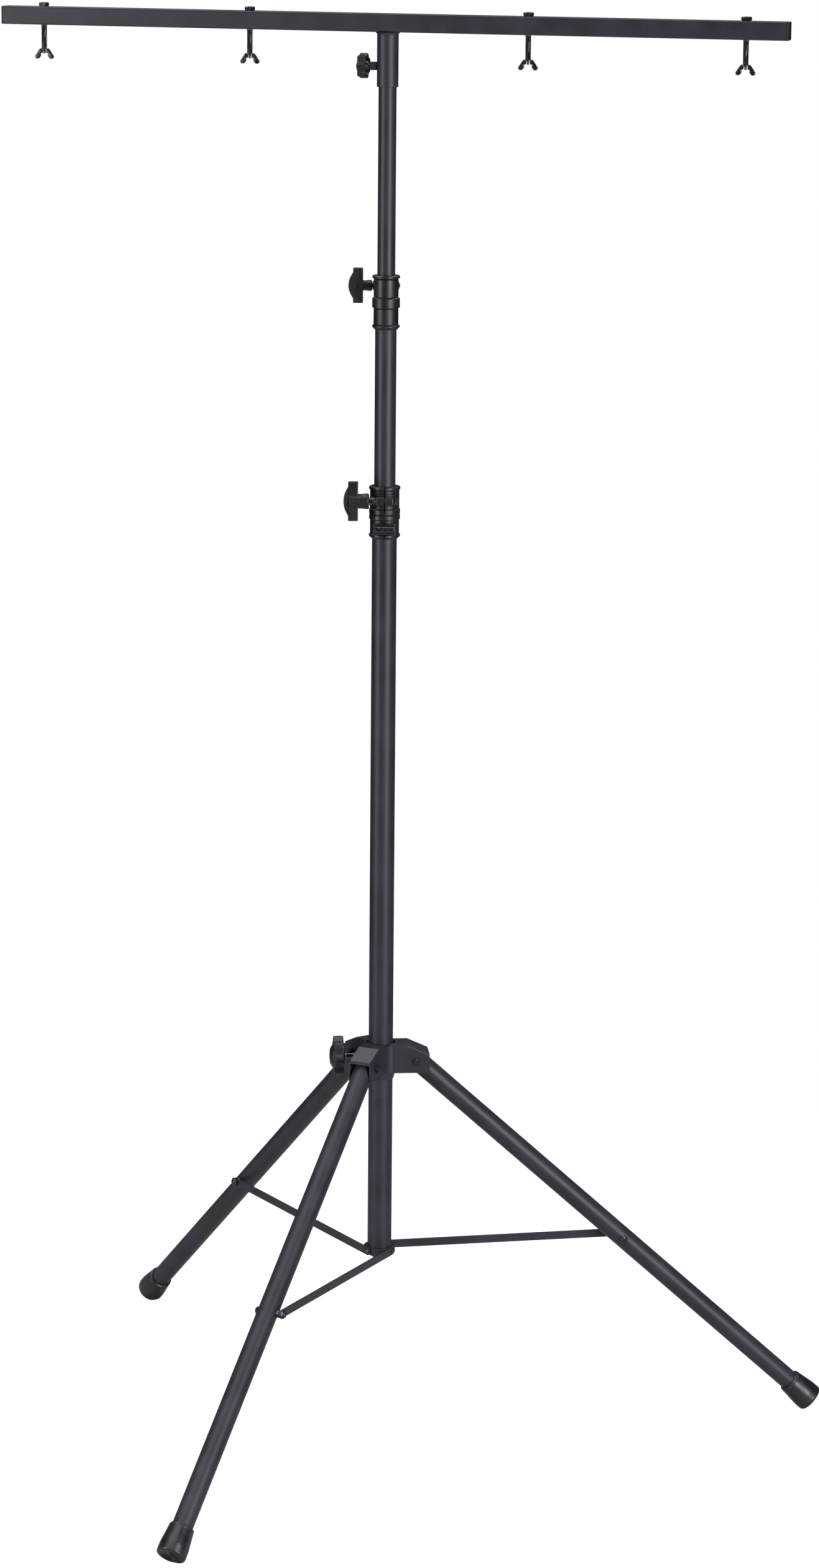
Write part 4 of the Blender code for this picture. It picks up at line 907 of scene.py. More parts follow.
def clamp_shell(prefix, outer_tube, inner_tube, outline):
    """The split shell with its lugs, slit and screw hole, in the clamp's own frame."""
    place, lug_out = clamp_frame(prefix)
    size = Span(prefix + "_clamp", place)
    body = Span(outer_tube, MAST).outer + GAP + CLAMP_WALL
    bore_low = Span(outer_tube, MAST).outer + GAP
    bore_high = Span(inner_tube, MAST).outer + BUSH_WALL + 2 * GAP
    height = size.high
    inside = [(bore_low, 0, 0.0003), (bore_low, CLAMP_SOCKET + GAP),
              (bore_high, CLAMP_SOCKET + GAP), (bore_high, height, 0.0004)]
    shell = lathe(prefix + "_clamp_body", rounded(outline(body, height) + inside), TUBE_STEPS)
    screw_height = joint(prefix + "_knob_turn")["pos_m"][2] - place.translation.z
    front = -(lug_out + LUG_DEPTH / 2)
    half = LUG_HEIGHT / 2
    lugs = block(prefix + "_lugs", (-LUG_LENGTH, front, screw_height - half),
                 (LUG_LENGTH, -(bore_high + 0.0009), screw_height + half), 0.0026)
    # a thicker pad runs up and down from the lugs, curved like the shell
    pad_top, pad_low = screw_height + half + PAD_RISE, screw_height - half - PAD_RISE
    back = bore_high + 0.0009
    pad = lathe(prefix + "_pad", rounded([
        (body + 0.0010, pad_top, 0.0009), (body + 0.0010, pad_low, 0.0009), (back, pad_low),
        (back, pad_top)]), TUBE_STEPS)
    window = block(prefix + "_pad_window", (-LUG_LENGTH, -0.05, 0), (LUG_LENGTH, -0.004, height),
                   0.0012)
    add(shell, keep(pad, window), lugs)
    slit = block(prefix + "_slit", (-SLIT / 2, -0.05, CLAMP_SOCKET + SLIT_RISE),
                 (SLIT / 2, -bore_high / 2, height + 0.002))
    hole = rod(prefix + "_hole", SCREW_RADIUS + GAP, -0.02, 0.02, steps=36)
    across = placed((0, -lug_out, screw_height), X_AXIS, Z_AXIS)
    cut(shell, slit, move(hole, across))
    return shell, place, body


class MakeLowerClamp(StandOperator):
    """Ribbed lower clamp with its recess, cross pin and nut"""

    bl_idname = "stand.make_lower_clamp"
    bl_label = "Lower clamp"

    def build(self, shape):
        shell, place, body = clamp_shell("lower", "base_tube", "mid_tube", lower_outline)
        pin_place = placed(box_middle("stop_pin"), place.col[0].to_3d(), Z_AXIS)
        pin = Span("stop_pin", pin_place)
        local = place.inverted() @ box_middle("stop_pin")
        half = pin.high + 0.0026
        frame_low = (-half, local.y - pin.outer * 0.60, local.z - 0.0076)
        frame_high = (half, -(body - CLAMP_WALL + 0.0008), local.z + 0.0076)
        add(shell, block("pin_frame", frame_low, frame_high, 0.0022))
        groove = rod("pin_groove", pin.outer + GAP, pin.low - GAP, pin.high + GAP, 0.0009)
        lip = block("pin_shadow", (pin.low, local.y - 0.02, local.z + 0.0010),
                    (pin.high, local.y + 0.0046, local.z + 0.0066), 0.0012)
        cut(shell, move(groove, placed(local, X_AXIS, Z_AXIS)), lip)
        foot_slit = block("foot_slit", (-SLIT / 2, -0.05, -0.001), (SLIT / 2, -0.0192, 0.0074))
        cut(shell, foot_slit)
        settle(shade(shell), ["lower_clamp"], place)
        bar = rod("stop_pin_turned", pin.outer, pin.low, pin.high, 0.0011)
        settle(shade(bar), ["stop_pin"], pin_place)
        clamp_nut("lower")


class MakeUpperClamp(StandOperator):
    """Smooth upper clamp with its wide band and nut"""

    bl_idname = "stand.make_upper_clamp"
    bl_label = "Upper clamp"

    def build(self, shape):
        shell, place = clamp_shell("upper", "mid_tube", "top_tube", upper_outline)[:2]
        settle(shade(shell), ["upper_clamp"], place)
        clamp_nut("upper")


def clamp_nut(prefix):
    """Hexagon nut on the far side of the lugs."""
    place = knob_place(prefix + "_knob")
    node = prefix + "_clamp_nut"
    size = Span(node, place)
    across = across_flats(size)
    nut = hex_piece(node + "_hex", across, size.low, size.high, SCREW_RADIUS + GAP, 0.0012)
    settle(shade(nut, 25), [node], place)


def wing_outline(span, base, tip, crown):
    """A wing knob seen from the side: flat towards the clamp, domed on the outside."""
    half = span / 2
    shoulder = half * 0.72
    points = [(-half, base, 0.0014), (half, base, 0.0014), (half, tip, 0.0014),
              (shoulder, tip, 0.0030)]
    count = 14
    for i in range(1, count):
        y = shoulder * (1 - 2 * i / count)
        points.append((y, tip + (crown - tip) * (1 - (y / shoulder) ** 2)))
    points += [(-shoulder, tip, 0.0030), (-half, tip, 0.0014)]
    return rounded(points)


class MakeWingKnobs(StandOperator):
    """Two-winged knobs of the clamps, with round necks, and their black screws"""

    bl_idname = "stand.make_wing_knobs"
    bl_label = "Wing knobs"

    def build(self, shape):
        for prefix, (neck, neck_length) in WING_NECKS.items():
            place = knob_place(prefix + "_knob")
            knob = Span(prefix + "_knob", place)
            low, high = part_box(prefix + "_knob")
            span = high.z - low.z
            base = knob.low + neck_length
            tip = base + WING_THICK
            wings = plate(prefix + "_wings", [wing_outline(span, base, tip, knob.high)],
                          WING_DEPTH, WING_EDGE, SIDEWAYS)
            flare = [(0, tip - 0.0010), (neck * 0.9, tip - 0.0012, 0.0014), (neck * 0.94, base),
                     (neck - 0.0008, base - 0.0030, 0.003), (neck, knob.low + 0.0044, 0.003),
                     (neck, knob.low, 0.0024), (0, knob.low)]
            collar = lathe(prefix + "_neck", rounded(flare, closed=False), 72)
            bore = rod(prefix + "_bore", SCREW_RADIUS + GAP, knob.low - 0.002,
                       base + KNOB_BORE)
            cut(add(wings, collar), bore)
            settle(shade(wings), [prefix + "_knob"], place)
            self.screw(prefix, place, knob.low)

    def screw(self, prefix, place, knob_low):
        node = prefix + "_knob_screw"
        size = Span(node, place)
        ferrule = size.outer
        lug_end = LUG_LENGTH + GAP
        profile = [(0, size.high), (SCREW_RADIUS, size.high), (SCREW_RADIUS, knob_low - GAP),
                   (ferrule - 0.0004, knob_low - GAP), (ferrule, knob_low - 0.0012),
                   (ferrule, lug_end + 0.0008), (ferrule - 0.0004, lug_end),
                   (SCREW_RADIUS, lug_end), (SCREW_RADIUS, size.low + 0.0068, -0.006),
                   (SCREW_RADIUS, size.low + 0.0005), (SCREW_RADIUS - 0.0005, size.low),
                   (0, size.low)]
        screw = screw_piece(node + "_black", profile, size.low, -0.007, SLOT[node])
        settle(shade(screw), [node], place)


def star_profile(radius, near, far, top, bore, depth):
    """Half section of a star knob: domed middle, a groove round it, thick rim, boss below."""
    crown = top - far
    return [(0, top), (radius * 0.20, top - crown * 0.05), (radius * 0.38, top - crown * 0.18),
            (radius * 0.52, far + crown * 0.40, 0.002), (radius * 0.60, far - 0.0004, 0.0005),
            (radius * 0.65, far - 0.0009, 0.0004), (radius * 0.70, far, 0.0006),
            (radius * 0.86, far), (radius, far, 0.0022), (radius, near, 0.0020),
            (radius * 0.86, near), (radius * 0.72, near, 0.0006),
            (radius * 0.66, near + 0.0030, 0.0008), (radius * 0.42, near + 0.0030, 0.0008),
            (radius * 0.30, near - 0.0020, 0.0006), (bore, near - 0.0020), (bore, depth),
            (0, depth)]


class MakeStarKnobs(StandOperator):
    """Star knobs of the T-bar's socket and the hub, and their plated screws"""

    bl_idname = "stand.make_star_knobs"
    bl_label = "Star knobs"

    def build(self, shape):
        for prefix, thickness in STAR_RIMS.items():
            place = knob_place(prefix + "_knob")
            knob = Span(prefix + "_knob", place)
            screw = Span(prefix + "_knob_screw", place)
            near = knob.low + 0.0020
            profile = star_profile(knob.outer, near, near + thickness, knob.high,
                                   KNOB_SCREW_RADIUS + GAP, screw.high + GAP)
            star = lathe(prefix + "_knob_star", rounded(profile, closed=False), shape.lobes * 20)
            star.data.materials.append(finish("plastic"))
            grow(star, "waves", Waves=float(shape.lobes), Twist=0.0,
                 Depth=knob.outer * shape.lobe_share, **{
                     "Fade From": knob.outer * 0.62, "Fade To": knob.outer * 0.95,
                     "Low": knob.low, "High": knob.high})
            settle(shade(star, 45), [prefix + "_knob"], place)
            radius = KNOB_SCREW_RADIUS
            profile = [(0, screw.high), (radius, screw.high),
                       (radius, screw.low + 0.0010, near - 0.0040),
                       (radius - 0.0010, screw.low), (0, screw.low)]
            rod_piece = screw_piece(prefix + "_knob_screw_plated", profile, screw.low + 0.0012,
                                    near - 0.0042)
            settle(shade(rod_piece), [prefix + "_knob_screw"], place)


def bar_frame():
    """Frame under the middle of the T-bar, with X along the bar."""
    low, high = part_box("t_bar")
    return Matrix.Translation(((low.x + high.x) / 2, (low.y + high.y) / 2, low.z)), high - low


def bolt_places():
    """The lamp bolts' places, in the bar's frame."""
    place = bar_frame()[0]
    return [place.inverted() @ box_middle("bar_bolt_" + str(i)) for i in BOLTS]


class MakeBar(StandOperator):
    """Square T-bar with its bolt holes and end plugs"""

    bl_idname = "stand.make_bar"
    bl_label = "T-bar"

    def build(self, shape):
        place, size = bar_frame()
        side = size.z
        half, inner = side / 2, side / 2 - BAR_WALL
        corners = [(-half, -half), (half, -half), (half, half), (-half, half)]
        hollow = [(-inner, inner), (inner, inner), (inner, -inner), (-inner, -inner)]
        section = [rounded(corners, BAR_CORNER), rounded(hollow, BAR_CORNER - BAR_WALL)]
        tube = plate("t_bar_tube", section, size.x, turn=SIDEWAYS)
        move(tube, Matrix.Translation((0, 0, half)))
        for spot in bolt_places():
            hole = rod("bolt_hole", BOLT_RADIUS + GAP, -0.01, side + 0.01)
            cut(tube, move(hole, Matrix.Translation((spot.x, 0, 0))))
        settle(shade(tube, 30), ["t_bar"], place)
        for node in ("end_cap_left", "end_cap_right"):
            self.plug(node, place, size, side)

    def plug(self, node, place, size, side):
        low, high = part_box(node)
        local_low, local_high = place.inverted() @ low, place.inverted() @ high
        outward = 1 if local_high.x > 0 else -1
        face = size.x / 2 + GAP
        outer = max(abs(local_low.x), abs(local_high.x))
        square = [(-side / 2, -side / 2), (side / 2, -side / 2), (side / 2, side / 2),
                  (-side / 2, side / 2)]
        cap = plate(node + "_flange", [rounded(square, BAR_CORNER)], outer - face, 0.0008,
                    SIDEWAYS)
        move(cap, Matrix.Translation((outward * (face + outer) / 2, 0, side / 2)))
        reach = min(abs(local_low.x), abs(local_high.x))
        fit = side / 2 - BAR_WALL - GAP
        xs = sorted((outward * reach, outward * (face + 0.001)))
        stem = block(node + "_stem", (xs[0], -fit, side / 2 - fit), (xs[1], fit, side / 2 + fit),
                     0.0006)
        # a shallow dimple where the moulding was gated
        dimple = rod(node + "_gate", 0.0028, -0.0004, 0.002, 0.0002)
        spot = placed((outward * outer, 0, side / 2), X_AXIS * outward, Z_AXIS)
        cut(add(cap, stem), move(dimple, spot))
        settle(shade(cap), [node], place)


class MakeBarBolts(StandOperator):
    """Hexagon bolts through the T-bar, threaded, with turned-down tips"""

    bl_idname = "stand.make_bar_bolts"
    bl_label = "Lamp bolts"

    def build(self, shape):
        place, size = bar_frame()
        spots = bolt_places()
        local = place @ Matrix.Translation((spots[0].x, spots[0].y, 0))
        bolt = Span("bar_bolt_1", local)
        seat = size.z + GAP
        pilot_end = bolt.low
        drop_to = pilot_end + 0.0048
        across = across_flats(bolt)
        head = hex_piece("bolt_head", across, seat, bolt.high, chamfer=0.0013)
        washer = rod("head_washer", across / 2 - 0.0002, seat, seat + 0.0007, 0.0002)
        add(head, washer)
        head.data.materials.append(finish("black_steel"))
        thread_top = -0.0010
        profile = [(0, seat + 0.002), (BOLT_RADIUS, seat + 0.002), (BOLT_RADIUS, 0.0),
                   (BOLT_RADIUS, drop_to + 0.0007, thread_top),
                   (BOLT_RADIUS - 0.0006, drop_to), (0.0019, drop_to - 0.0006),
                   (0.0019, pilot_end + 0.0004), (0.0015, pilot_end), (0, pilot_end)]
        shank = screw_piece("bolt_shank", profile, drop_to + 0.0010, thread_top - 0.0006,
                            "black_steel")
        add(head, shank)
        shade(head, 25)
        settle_copies("lamp_bolts", head, [(spot.x, spot.y, 0, 0) for spot in spots], place,
                      ["bar_bolt_" + str(i) for i in BOLTS])


def settle_copies(name, piece, spots, place, nodes):
    """Copies of one piece at spots (x, y, z, turn), as one mesh that stands for all the nodes."""
    mesh = bpy.data.meshes.new(name)
    mesh.from_pydata([spot[:3] for spot in spots], [], [])
    mesh.attributes.new("turn", "FLOAT", "POINT").data.foreach_set("value",
                                                                   [spot[3] for spot in spots])
    mesh.materials.append(finish(SLOT[nodes[0]]))
    obj = new_object(name, mesh)
    grow(obj, "copies", Piece=piece)
    drop(piece)
    settle(obj, nodes, place)


def wing_nut_half(bore, half):
    """One wing of a wing nut, seen from the front: it hangs and ends in a round lobe."""
    root = bore - 0.0017
    lobe = 0.0027
    points = [(root, -0.0005), (bore + 0.0026, -0.0005, 0.0012), (half - 0.0003, -0.0108, 0.0020),
              (half - 0.0016, -0.0141, lobe), (half - 0.0056, -0.0141, lobe),
              (half - 0.0086, -0.0104, 0.0020), (bore + 0.0016, -0.0063, 0.0008), (root, -0.0063)]
    return rounded(points)


class MakeWingNuts(StandOperator):
    """Wing nuts at the bolts' lower ends, wings down"""

    bl_idname = "stand.make_wing_nuts"
    bl_label = "Wing nuts"

    def build(self, shape):
        for number in BOLTS:
            node = "wing_nut_" + str(number)
            low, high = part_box(node)
            place = Matrix.Translation(((low.x + high.x) / 2, (low.y + high.y) / 2, high.z))
            half = (high.x - low.x) / 2
            bore = BOLT_RADIUS + GAP
            nut = rod(node + "_cast", bore + WING_NUT_WALL, -0.0016, 0.0, 0.0004)
            for side in (1, -1):
                outline = [(side * x, z) for x, z in wing_nut_half(bore, half)]
                wing = plate(node + "_wing", [outline[::side]], WING_NUT_DEPTH, 0.0012, UPRIGHT)
                add(nut, wing)
            cut(nut, rod(node + "_bore", bore, -0.02, 0.01))
            settle(shade(nut, 42), [node], place)


class MakeSocket(StandOperator):
    """Sleeve under the T-bar with its weld bead and the weld nut for its knob"""

    bl_idname = "stand.make_socket"
    bl_label = "T-bar socket"

    def build(self, shape):
        size = Span("bar_socket", MAST)
        bore = size.inner
        outer = bore + SOCKET_WALL
        body = [(outer + 0.0024, size.high, 0.0003), (outer + 0.0012, size.high - 0.0011, 0.0010),
                (outer, size.high - 0.0030, 0.0012), (outer, size.low, TUBE_EDGE),
                (bore, size.low, TUBE_EDGE), (bore, size.high)]
        sleeve = lathe("bar_socket_sleeve", rounded(body), shape.weld_ripples * 4)
        sleeve.data.materials.append(finish("powder_coat"))
        grow(sleeve, "waves", Waves=float(shape.weld_ripples), Twist=0.0,
             Depth=shape.weld_depth, **{"Fade From": outer + 0.0001, "Fade To": outer + 0.0008,
                                        "Low": size.high - 0.0032, "High": size.high - 0.0001})
        place = knob_place("socket_knob")
        hole = rod("socket_hole", KNOB_SCREW_RADIUS + GAP, 0, outer + 0.004)
        cut(sleeve, move(hole, MAST.inverted() @ place))
        settle(shade(sleeve), ["bar_socket"], MAST)

        nut = Span("socket_weld_nut", place)
        across = across_flats(nut)
        boss = hex_piece("weld_nut_hex", across, nut.low, nut.high, nut.inner, 0.0014)
        settle(shade(boss, 25), ["socket_weld_nut"], place)


def hub_sizes():
    """The hub's sizes, worked out from the leg tubes and their pivots."""
    place = leg_place("right")[0]
    leg = Span("leg_right", place).outer
    pivot = (HUB.inverted() @ place.translation).length
    inside = leg + ARM_PLAY
    return {"pivot": pivot, "inside": inside, "outside": inside + SHEET,
            "top": leg + ARM_CROWN, "bottom": -(leg + ARM_FLOOR),
            "bend": pivot - ARM_BEND_BACK, "end": pivot + leg + ARM_PAST_LEG}


def arm_solid(name, size, start, width, drop, floor, bend):
    """A hub arm seen from the side, as a solid that reaches past its end.

    drop is its top below the hub's, floor its bottom and bend the rounding of its top edges."""
    past = size["end"] + 0.006
    top = size["top"] - drop
    slope_start = size["bend"] - drop * (math.hypot(1, ARM_SLOPE) - 1) / abs(ARM_SLOPE)
    end_top = top + ARM_SLOPE * (past - slope_start)
    outline = [(start, floor), (past, floor), (past, end_top), (slope_start, top, 0.004),
               (start, top)]
    return plate(name, [rounded(outline)], width, bend, UPRIGHT)


def hub_plan(inset, sides, low, high, edge):
    """The hub's middle in plan: hollow curves lead from each arm's side into the next.

    inset draws its side in, low and high are its heights and edge rounds its rims."""
    size = hub_sizes()
    half = size["outside"] - inset
    curve = HUB_CURVE + inset
    reach = (half + curve) / math.cos(math.radians(30))
    outline = []
    for side in sides:
        middle = side + math.radians(60)
        centre = Vector((math.cos(middle), math.sin(middle))) * reach
        count = 12
        for i in range(count + 1):
            angle = middle + math.pi + math.radians(30) - math.radians(60) * i / count
            outline.append((centre.x + curve * math.cos(angle), centre.y + curve * math.sin(angle)))
    body = plate("hub_plan", [outline], high - low, edge)
    return move(body, Matrix.Translation((0, 0, (low + high) / 2)))


class MakeHub(StandOperator):
    """Pressed three-armed hub with its welded cover plate, skirt and bush"""

    bl_idname = "stand.make_hub"
    bl_label = "Tripod hub"

    def build(self, shape):
        size = hub_sizes()
        hub = Span("hub_housing", HUB)
        bush = Span("hub_bush", HUB)
        drum = bush.outer + GAP + 0.0015
        sides = leg_sides()
        turns = [Matrix.Rotation(side, 4, "Z") for side in sides]
        start, floor = 0.0150, size["bottom"] - 0.006
        # arms and middle reach below the hub and are cut level, so the cut leaves one flat rim
        body = hub_plan(0.0, sides, floor, size["top"] - COVER, COVER_EDGE)
        cover = hub_plan(COVER_INSET, sides, 0.0, size["top"], COVER_EDGE)
        channel = arm_solid("hub_channel", size, start, 2 * size["outside"], COVER, floor - 0.001,
                            SHEET_BEND)
        cut(channel, block("beyond", (size["end"], -0.1, -0.1), (0.2, 0.1, 0.1)))
        lid = arm_solid("hub_lid", size, start, 2 * (size["outside"] - COVER_INSET), 0.0, 0.002,
                        COVER_EDGE)
        cut(lid, block("lid_end", (size["end"] - 0.0008, -0.1, -0.1), (0.2, 0.1, 0.1)))
        for turn in turns:
            add(body, copy(channel, turn))
            add(cover, copy(lid, turn))
        add(body, cover)
        cut(body, block("below", (-0.1, -0.1, size["bottom"] - 0.05), (0.1, 0.1, size["bottom"])))
        drop(channel)
        drop(lid)
        cut(body, self.gap(size, sides, turns))
        skirt = [(0, size["top"] - 0.0067), (drum - 0.001, size["top"] - 0.0067),
                 (drum - 0.001, size["bottom"] - 0.0012, 0.002),
                 (bush.inner + 0.0012, hub.low, 0.0003), (0, hub.low)]
        # the turned pieces are turned a little, so that no facet lies along an arm's face
        off_grid = Matrix.Rotation(math.radians(1.3), 4, "Z")
        add(body, move(lathe("hub_skirt", rounded(skirt, closed=False), TUBE_STEPS), off_grid))
        self.boss(body, drum)
        hollow = arm_solid("hub_hollow", size, size["inside"] / math.sqrt(3) + 0.0006,
                           2 * size["inside"], COVER + SHEET, size["bottom"] - 0.0015,
                           SHEET_BEND - SHEET)
        for turn in turns:
            cut(body, copy(hollow, turn))
            hole = rod("pivot_hole", SCREW_RADIUS + GAP, -0.03, 0.03, steps=36)
            move(hole, turn @ placed((size["pivot"], 0, 0), Y_AXIS, Z_AXIS))
            cut(body, hole)
        drop(hollow)
        opening = bush.outer + GAP
        bore = [(0, size["top"] + 0.002), (opening + 0.0014, size["top"] + 0.002),
                (opening, size["top"] - 0.0012, 0.001), (opening, size["bottom"] - 0.0018),
                (bush.inner, size["bottom"] - 0.0068), (bush.inner, hub.low - 0.002),
                (0, hub.low - 0.002)]
        off_grid = Matrix.Rotation(math.radians(0.5), 4, "Z")
        cut(body, move(lathe("hub_bore", rounded(bore, closed=False), TUBE_STEPS), off_grid))
        screw = rod("hub_screw_hole", KNOB_SCREW_RADIUS + GAP, bush.inner, drum + 0.012)
        cut(body, move(screw, HUB.inverted() @ knob_place("hub_knob")))
        settle(shade(body, 32), ["hub_housing"], HUB)
        sleeve = ring("hub_bush_nylon", bush.outer, bush.inner, bush.low, bush.high)
        settle(shade(sleeve), ["hub_bush"], HUB)

    def boss(self, body, drum):
        """Boss for the knob's screw, with a weld bead round its foot."""
        outline = [(0, drum + 0.0090), (0.0078, drum + 0.0090, 0.0008), (0.0078, drum + 0.0022),
                   (0.0095, drum + 0.0004, 0.0006), (0.0095, drum - 0.0030), (0, drum - 0.0030)]
        boss = lathe("knob_boss", rounded(outline, closed=False), 64)
        add(body, move(boss, HUB.inverted() @ knob_place("hub_knob")))

    def gap(self, size, sides, turns):
        """The dark gap under the cover plate's edge, all round it, as one cutter."""
        low, high = -COVER - GAP, -COVER + GAP
        top = size["top"]
        outside = size["outside"] + 0.002
        inside = size["outside"] - COVER_INSET - 0.0012
        start, end, bend = 0.0168, size["end"] + 0.002, size["bend"]
        fall = ARM_SLOPE * (end - bend)
        outline = [(start, top + low), (bend, top + low), (end, top + low + fall),
                   (end, top + high + fall), (bend, top + high), (start, top + high)]
        strip = plate("gap_strip", [outline], outside - inside, 0.0, UPRIGHT)
        ring_cut = hub_plan(-0.002, sides, top + low, top + high, 0.0)
        cut(ring_cut, hub_plan(COVER_INSET + 0.0012, sides, top - 0.01, top + 0.01, 0.0))
        for turn in turns:
            for side in (1, -1):
                offset = Matrix.Translation((0, side * (outside + inside) / 2, 0))
                add(ring_cut, copy(strip, turn @ offset))
        drop(strip)
        return ring_cut


class MakePivots(StandOperator):
    """Round-headed leg pivot bolts with hexagon sockets, and their lock nuts"""

    bl_idname = "stand.make_pivots"
    bl_label = "Leg pivots"

    def build(self, shape):
        size = hub_sizes()
        sides = leg_sides()
        start = Matrix.Rotation(sides[0], 4, "Z")
        pivot = placed((size["pivot"], 0, 0), Y_AXIS, Z_AXIS)
        bolt = Span("pivot_bolt_right", HUB @ start @ pivot)
        nut = Span("pivot_nut_right", HUB @ start @ pivot)
        seat = size["outside"] + GAP
        head = button_head("pivot_head", bolt.outer, seat, -bolt.low - seat)
        shank = rod("pivot_shank", SCREW_RADIUS, -bolt.high, seat + 0.001, 0.0004, 36)
        flip = Matrix.Rotation(math.pi, 4, "X")
        piece = move(add(head, shank), pivot @ flip)
        spots = [(0, 0, 0, turn) for turn in sides]
        settle_copies("leg_pivot_bolts", shade(piece), spots, HUB,
                      ["pivot_bolt_" + name for name in LEGS])
        across = across_flats(nut)
        hexagonal = hex_piece("pivot_lock_nut", across, nut.low, nut.high, SCREW_RADIUS + GAP)
        settle_copies("leg_pivot_nuts", shade(move(hexagonal, pivot), 25), spots, HUB,
                      ["pivot_nut_" + name for name in LEGS])


def foot_profile(rim, sole, bore, top, end, plug, edge):
    """Half section of a foot: sloped shoulder, flared side, rounded edge, plain lip, sole."""
    lip = sole - edge - SOLE_LIP
    return [(0, end - 0.0010), (lip, end - 0.0010, 0.0004), (lip + 0.0008, end, 0.0004),
            (sole, end, edge), (sole, end - 0.0140, 0.02), (rim + 0.0003, top + 0.0056, 0.008),
            (rim + 0.0003, top + 0.0036, 0.001), (rim - 0.0006, top + 0.0030, 0.0006),
            (rim, top + 0.0024, 0.0006), (rim - 0.0002, top + 0.0008, 0.0008),
            (rim - 0.0018, top, 0.0006), (bore, top, 0.0004), (bore, plug), (0, plug)]


class MakeLegs(StandOperator):
    """Leg tubes with their bolt holes, the rubber feet and the brace bolts"""

    bl_idname = "stand.make_legs"
    bl_label = "Legs and feet"

    def build(self, shape):
        for name in LEGS:
            place = leg_place(name)[0]
            leg = Span("leg_" + name, place)
            tube = ring("leg_" + name + "_tube", leg.outer, leg.outer - TUBE_WALL, leg.low,
                        leg.high, TUBE_EDGE)
            brace = self.brace_place(name, place)
            for spot in (placed((0, 0, 0), Y_AXIS, X_AXIS), place.inverted() @ brace):
                hole = rod("leg_hole", SCREW_RADIUS + GAP, -0.02, 0.02, steps=36)
                cut(tube, move(hole, spot))
            settle(shade(tube), ["leg_" + name], place)
            self.foot(name, place, leg, shape)
            self.brace_bolt(name, brace, leg)

    def brace_place(self, name, place):
        """Frame on a leg's brace bolt, with Z towards the brace."""
        low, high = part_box("strut_nut_" + name)
        side = place.col[1].to_3d()
        middle = (low + high) / 2
        across = side * side.dot(middle - place.translation)
        return placed(middle - across, side, place.col[0].to_3d())

    def foot(self, name, place, leg, shape):
        node = "foot_" + name
        size = Span(node, place)
        rim = leg.outer + GAP + FOOT_SHOULDER
        profile = foot_profile(rim, size.outer, leg.outer + GAP, size.low, size.high,
                               leg.high + GAP, FOOT_EDGE)
        rubber_piece = lathe(node + "_moulding", rounded(profile, closed=False), TUBE_STEPS)
        rubber_piece.data.materials.append(finish("rubber"))
        sole = size.outer - FOOT_EDGE - SOLE_LIP
        lift = Matrix.Translation((0, 0, size.high - 0.0012))
        move(rubber_piece, lift.inverted())
        grow(rubber_piece, "rings", Rings=shape.sole_grooves, Inner=sole * 0.24,
             Outer=sole * 0.80, Bead=0.0011)
        settle(shade(rubber_piece), [node], place @ lift)

    def brace_bolt(self, name, brace, leg):
        node = "strut_bolt_" + name
        size = Span(node, brace)
        seat = leg.outer + GAP
        head = button_head(node + "_head", size.outer, seat, -size.low - seat)
        flip = Matrix.Rotation(math.pi, 4, "X")
        move(head, flip)
        shank = rod(node + "_shank", SCREW_RADIUS, -seat - 0.001, seat + 0.001, steps=36)
        spacer = [(0, size.high), (SPACER_RADIUS, size.high, 0.0004),
                  (SPACER_RADIUS, seat, 0.0004), (0, seat)]
        add(head, shank, lathe(node + "_spacer", rounded(spacer, closed=False)))
        settle(shade(head), [node], brace)


class MakeStruts(StandOperator):
    """Flat steel braces with rounded ends, and their domed cap nuts"""

    bl_idname = "stand.make_struts"
    bl_label = "Braces"

    def build(self, shape):
        for name in LEGS:
            fold = joint("strut_" + name + "_fold")
            side = -Vector(fold["axis"])
            middle = box_middle("strut_" + name)
            pin = Vector(fold["pos_m"])
            across = side.dot(middle - pin)
            along = middle - pin - side * across
            place = placed(pin, along.cross(side), side)
            reach = 2 * along.length
            points = [place.inverted() @ vertex.co
                      for vertex in frame["nodes"]["strut_" + name].data.vertices]
            half = max(point.z for point in points)
            thickness = max(point.y for point in points) - min(point.y for point in points)
            capsule = [(-half, -half, half), (reach + half, -half, half),
                       (reach + half, half, half), (-half, half, half)]
            holes = [circle(RIVET_RADIUS + GAP, (x, 0), 32)[::-1] for x in (0, reach)]
            strip = plate("strut_" + name + "_strip", [rounded(capsule, step=9.0)] + holes,
                          thickness, BRACE_EDGE, UPRIGHT)
            move(strip, Matrix.Translation((0, across, 0)))
            settle(shade(strip), ["strut_" + name], place)
            self.cap_nut(name, place, reach)

    def cap_nut(self, name, place, reach):
        node = "strut_nut_" + name
        nut_place = place @ placed((reach, 0, 0), Y_AXIS, Z_AXIS)
        size = Span(node, nut_place)
        seat = size.low + 0.0025
        across = 2 * size.outer * CAP_NUT_FLATS
        top = size.high
        hexagonal = hex_piece(node + "_hex", across, seat, seat + 0.0034)
        dome_radius = across / 2 - 0.0008
        dome = [(0, top), (dome_radius * 0.45, top - 0.0003), (dome_radius * 0.80, top - 0.0013),
                (dome_radius * 0.97, seat + 0.0040), (dome_radius, seat + 0.0028),
                (dome_radius, seat + 0.001), (0, seat + 0.001)]
        stem = rod(node + "_stem", RIVET_RADIUS, size.low, seat + 0.001, steps=32)
        add(hexagonal, lathe(node + "_dome", rounded(dome, 0.0012, closed=False)), stem)
        settle(shade(hexagonal, 28), [node], nut_place)


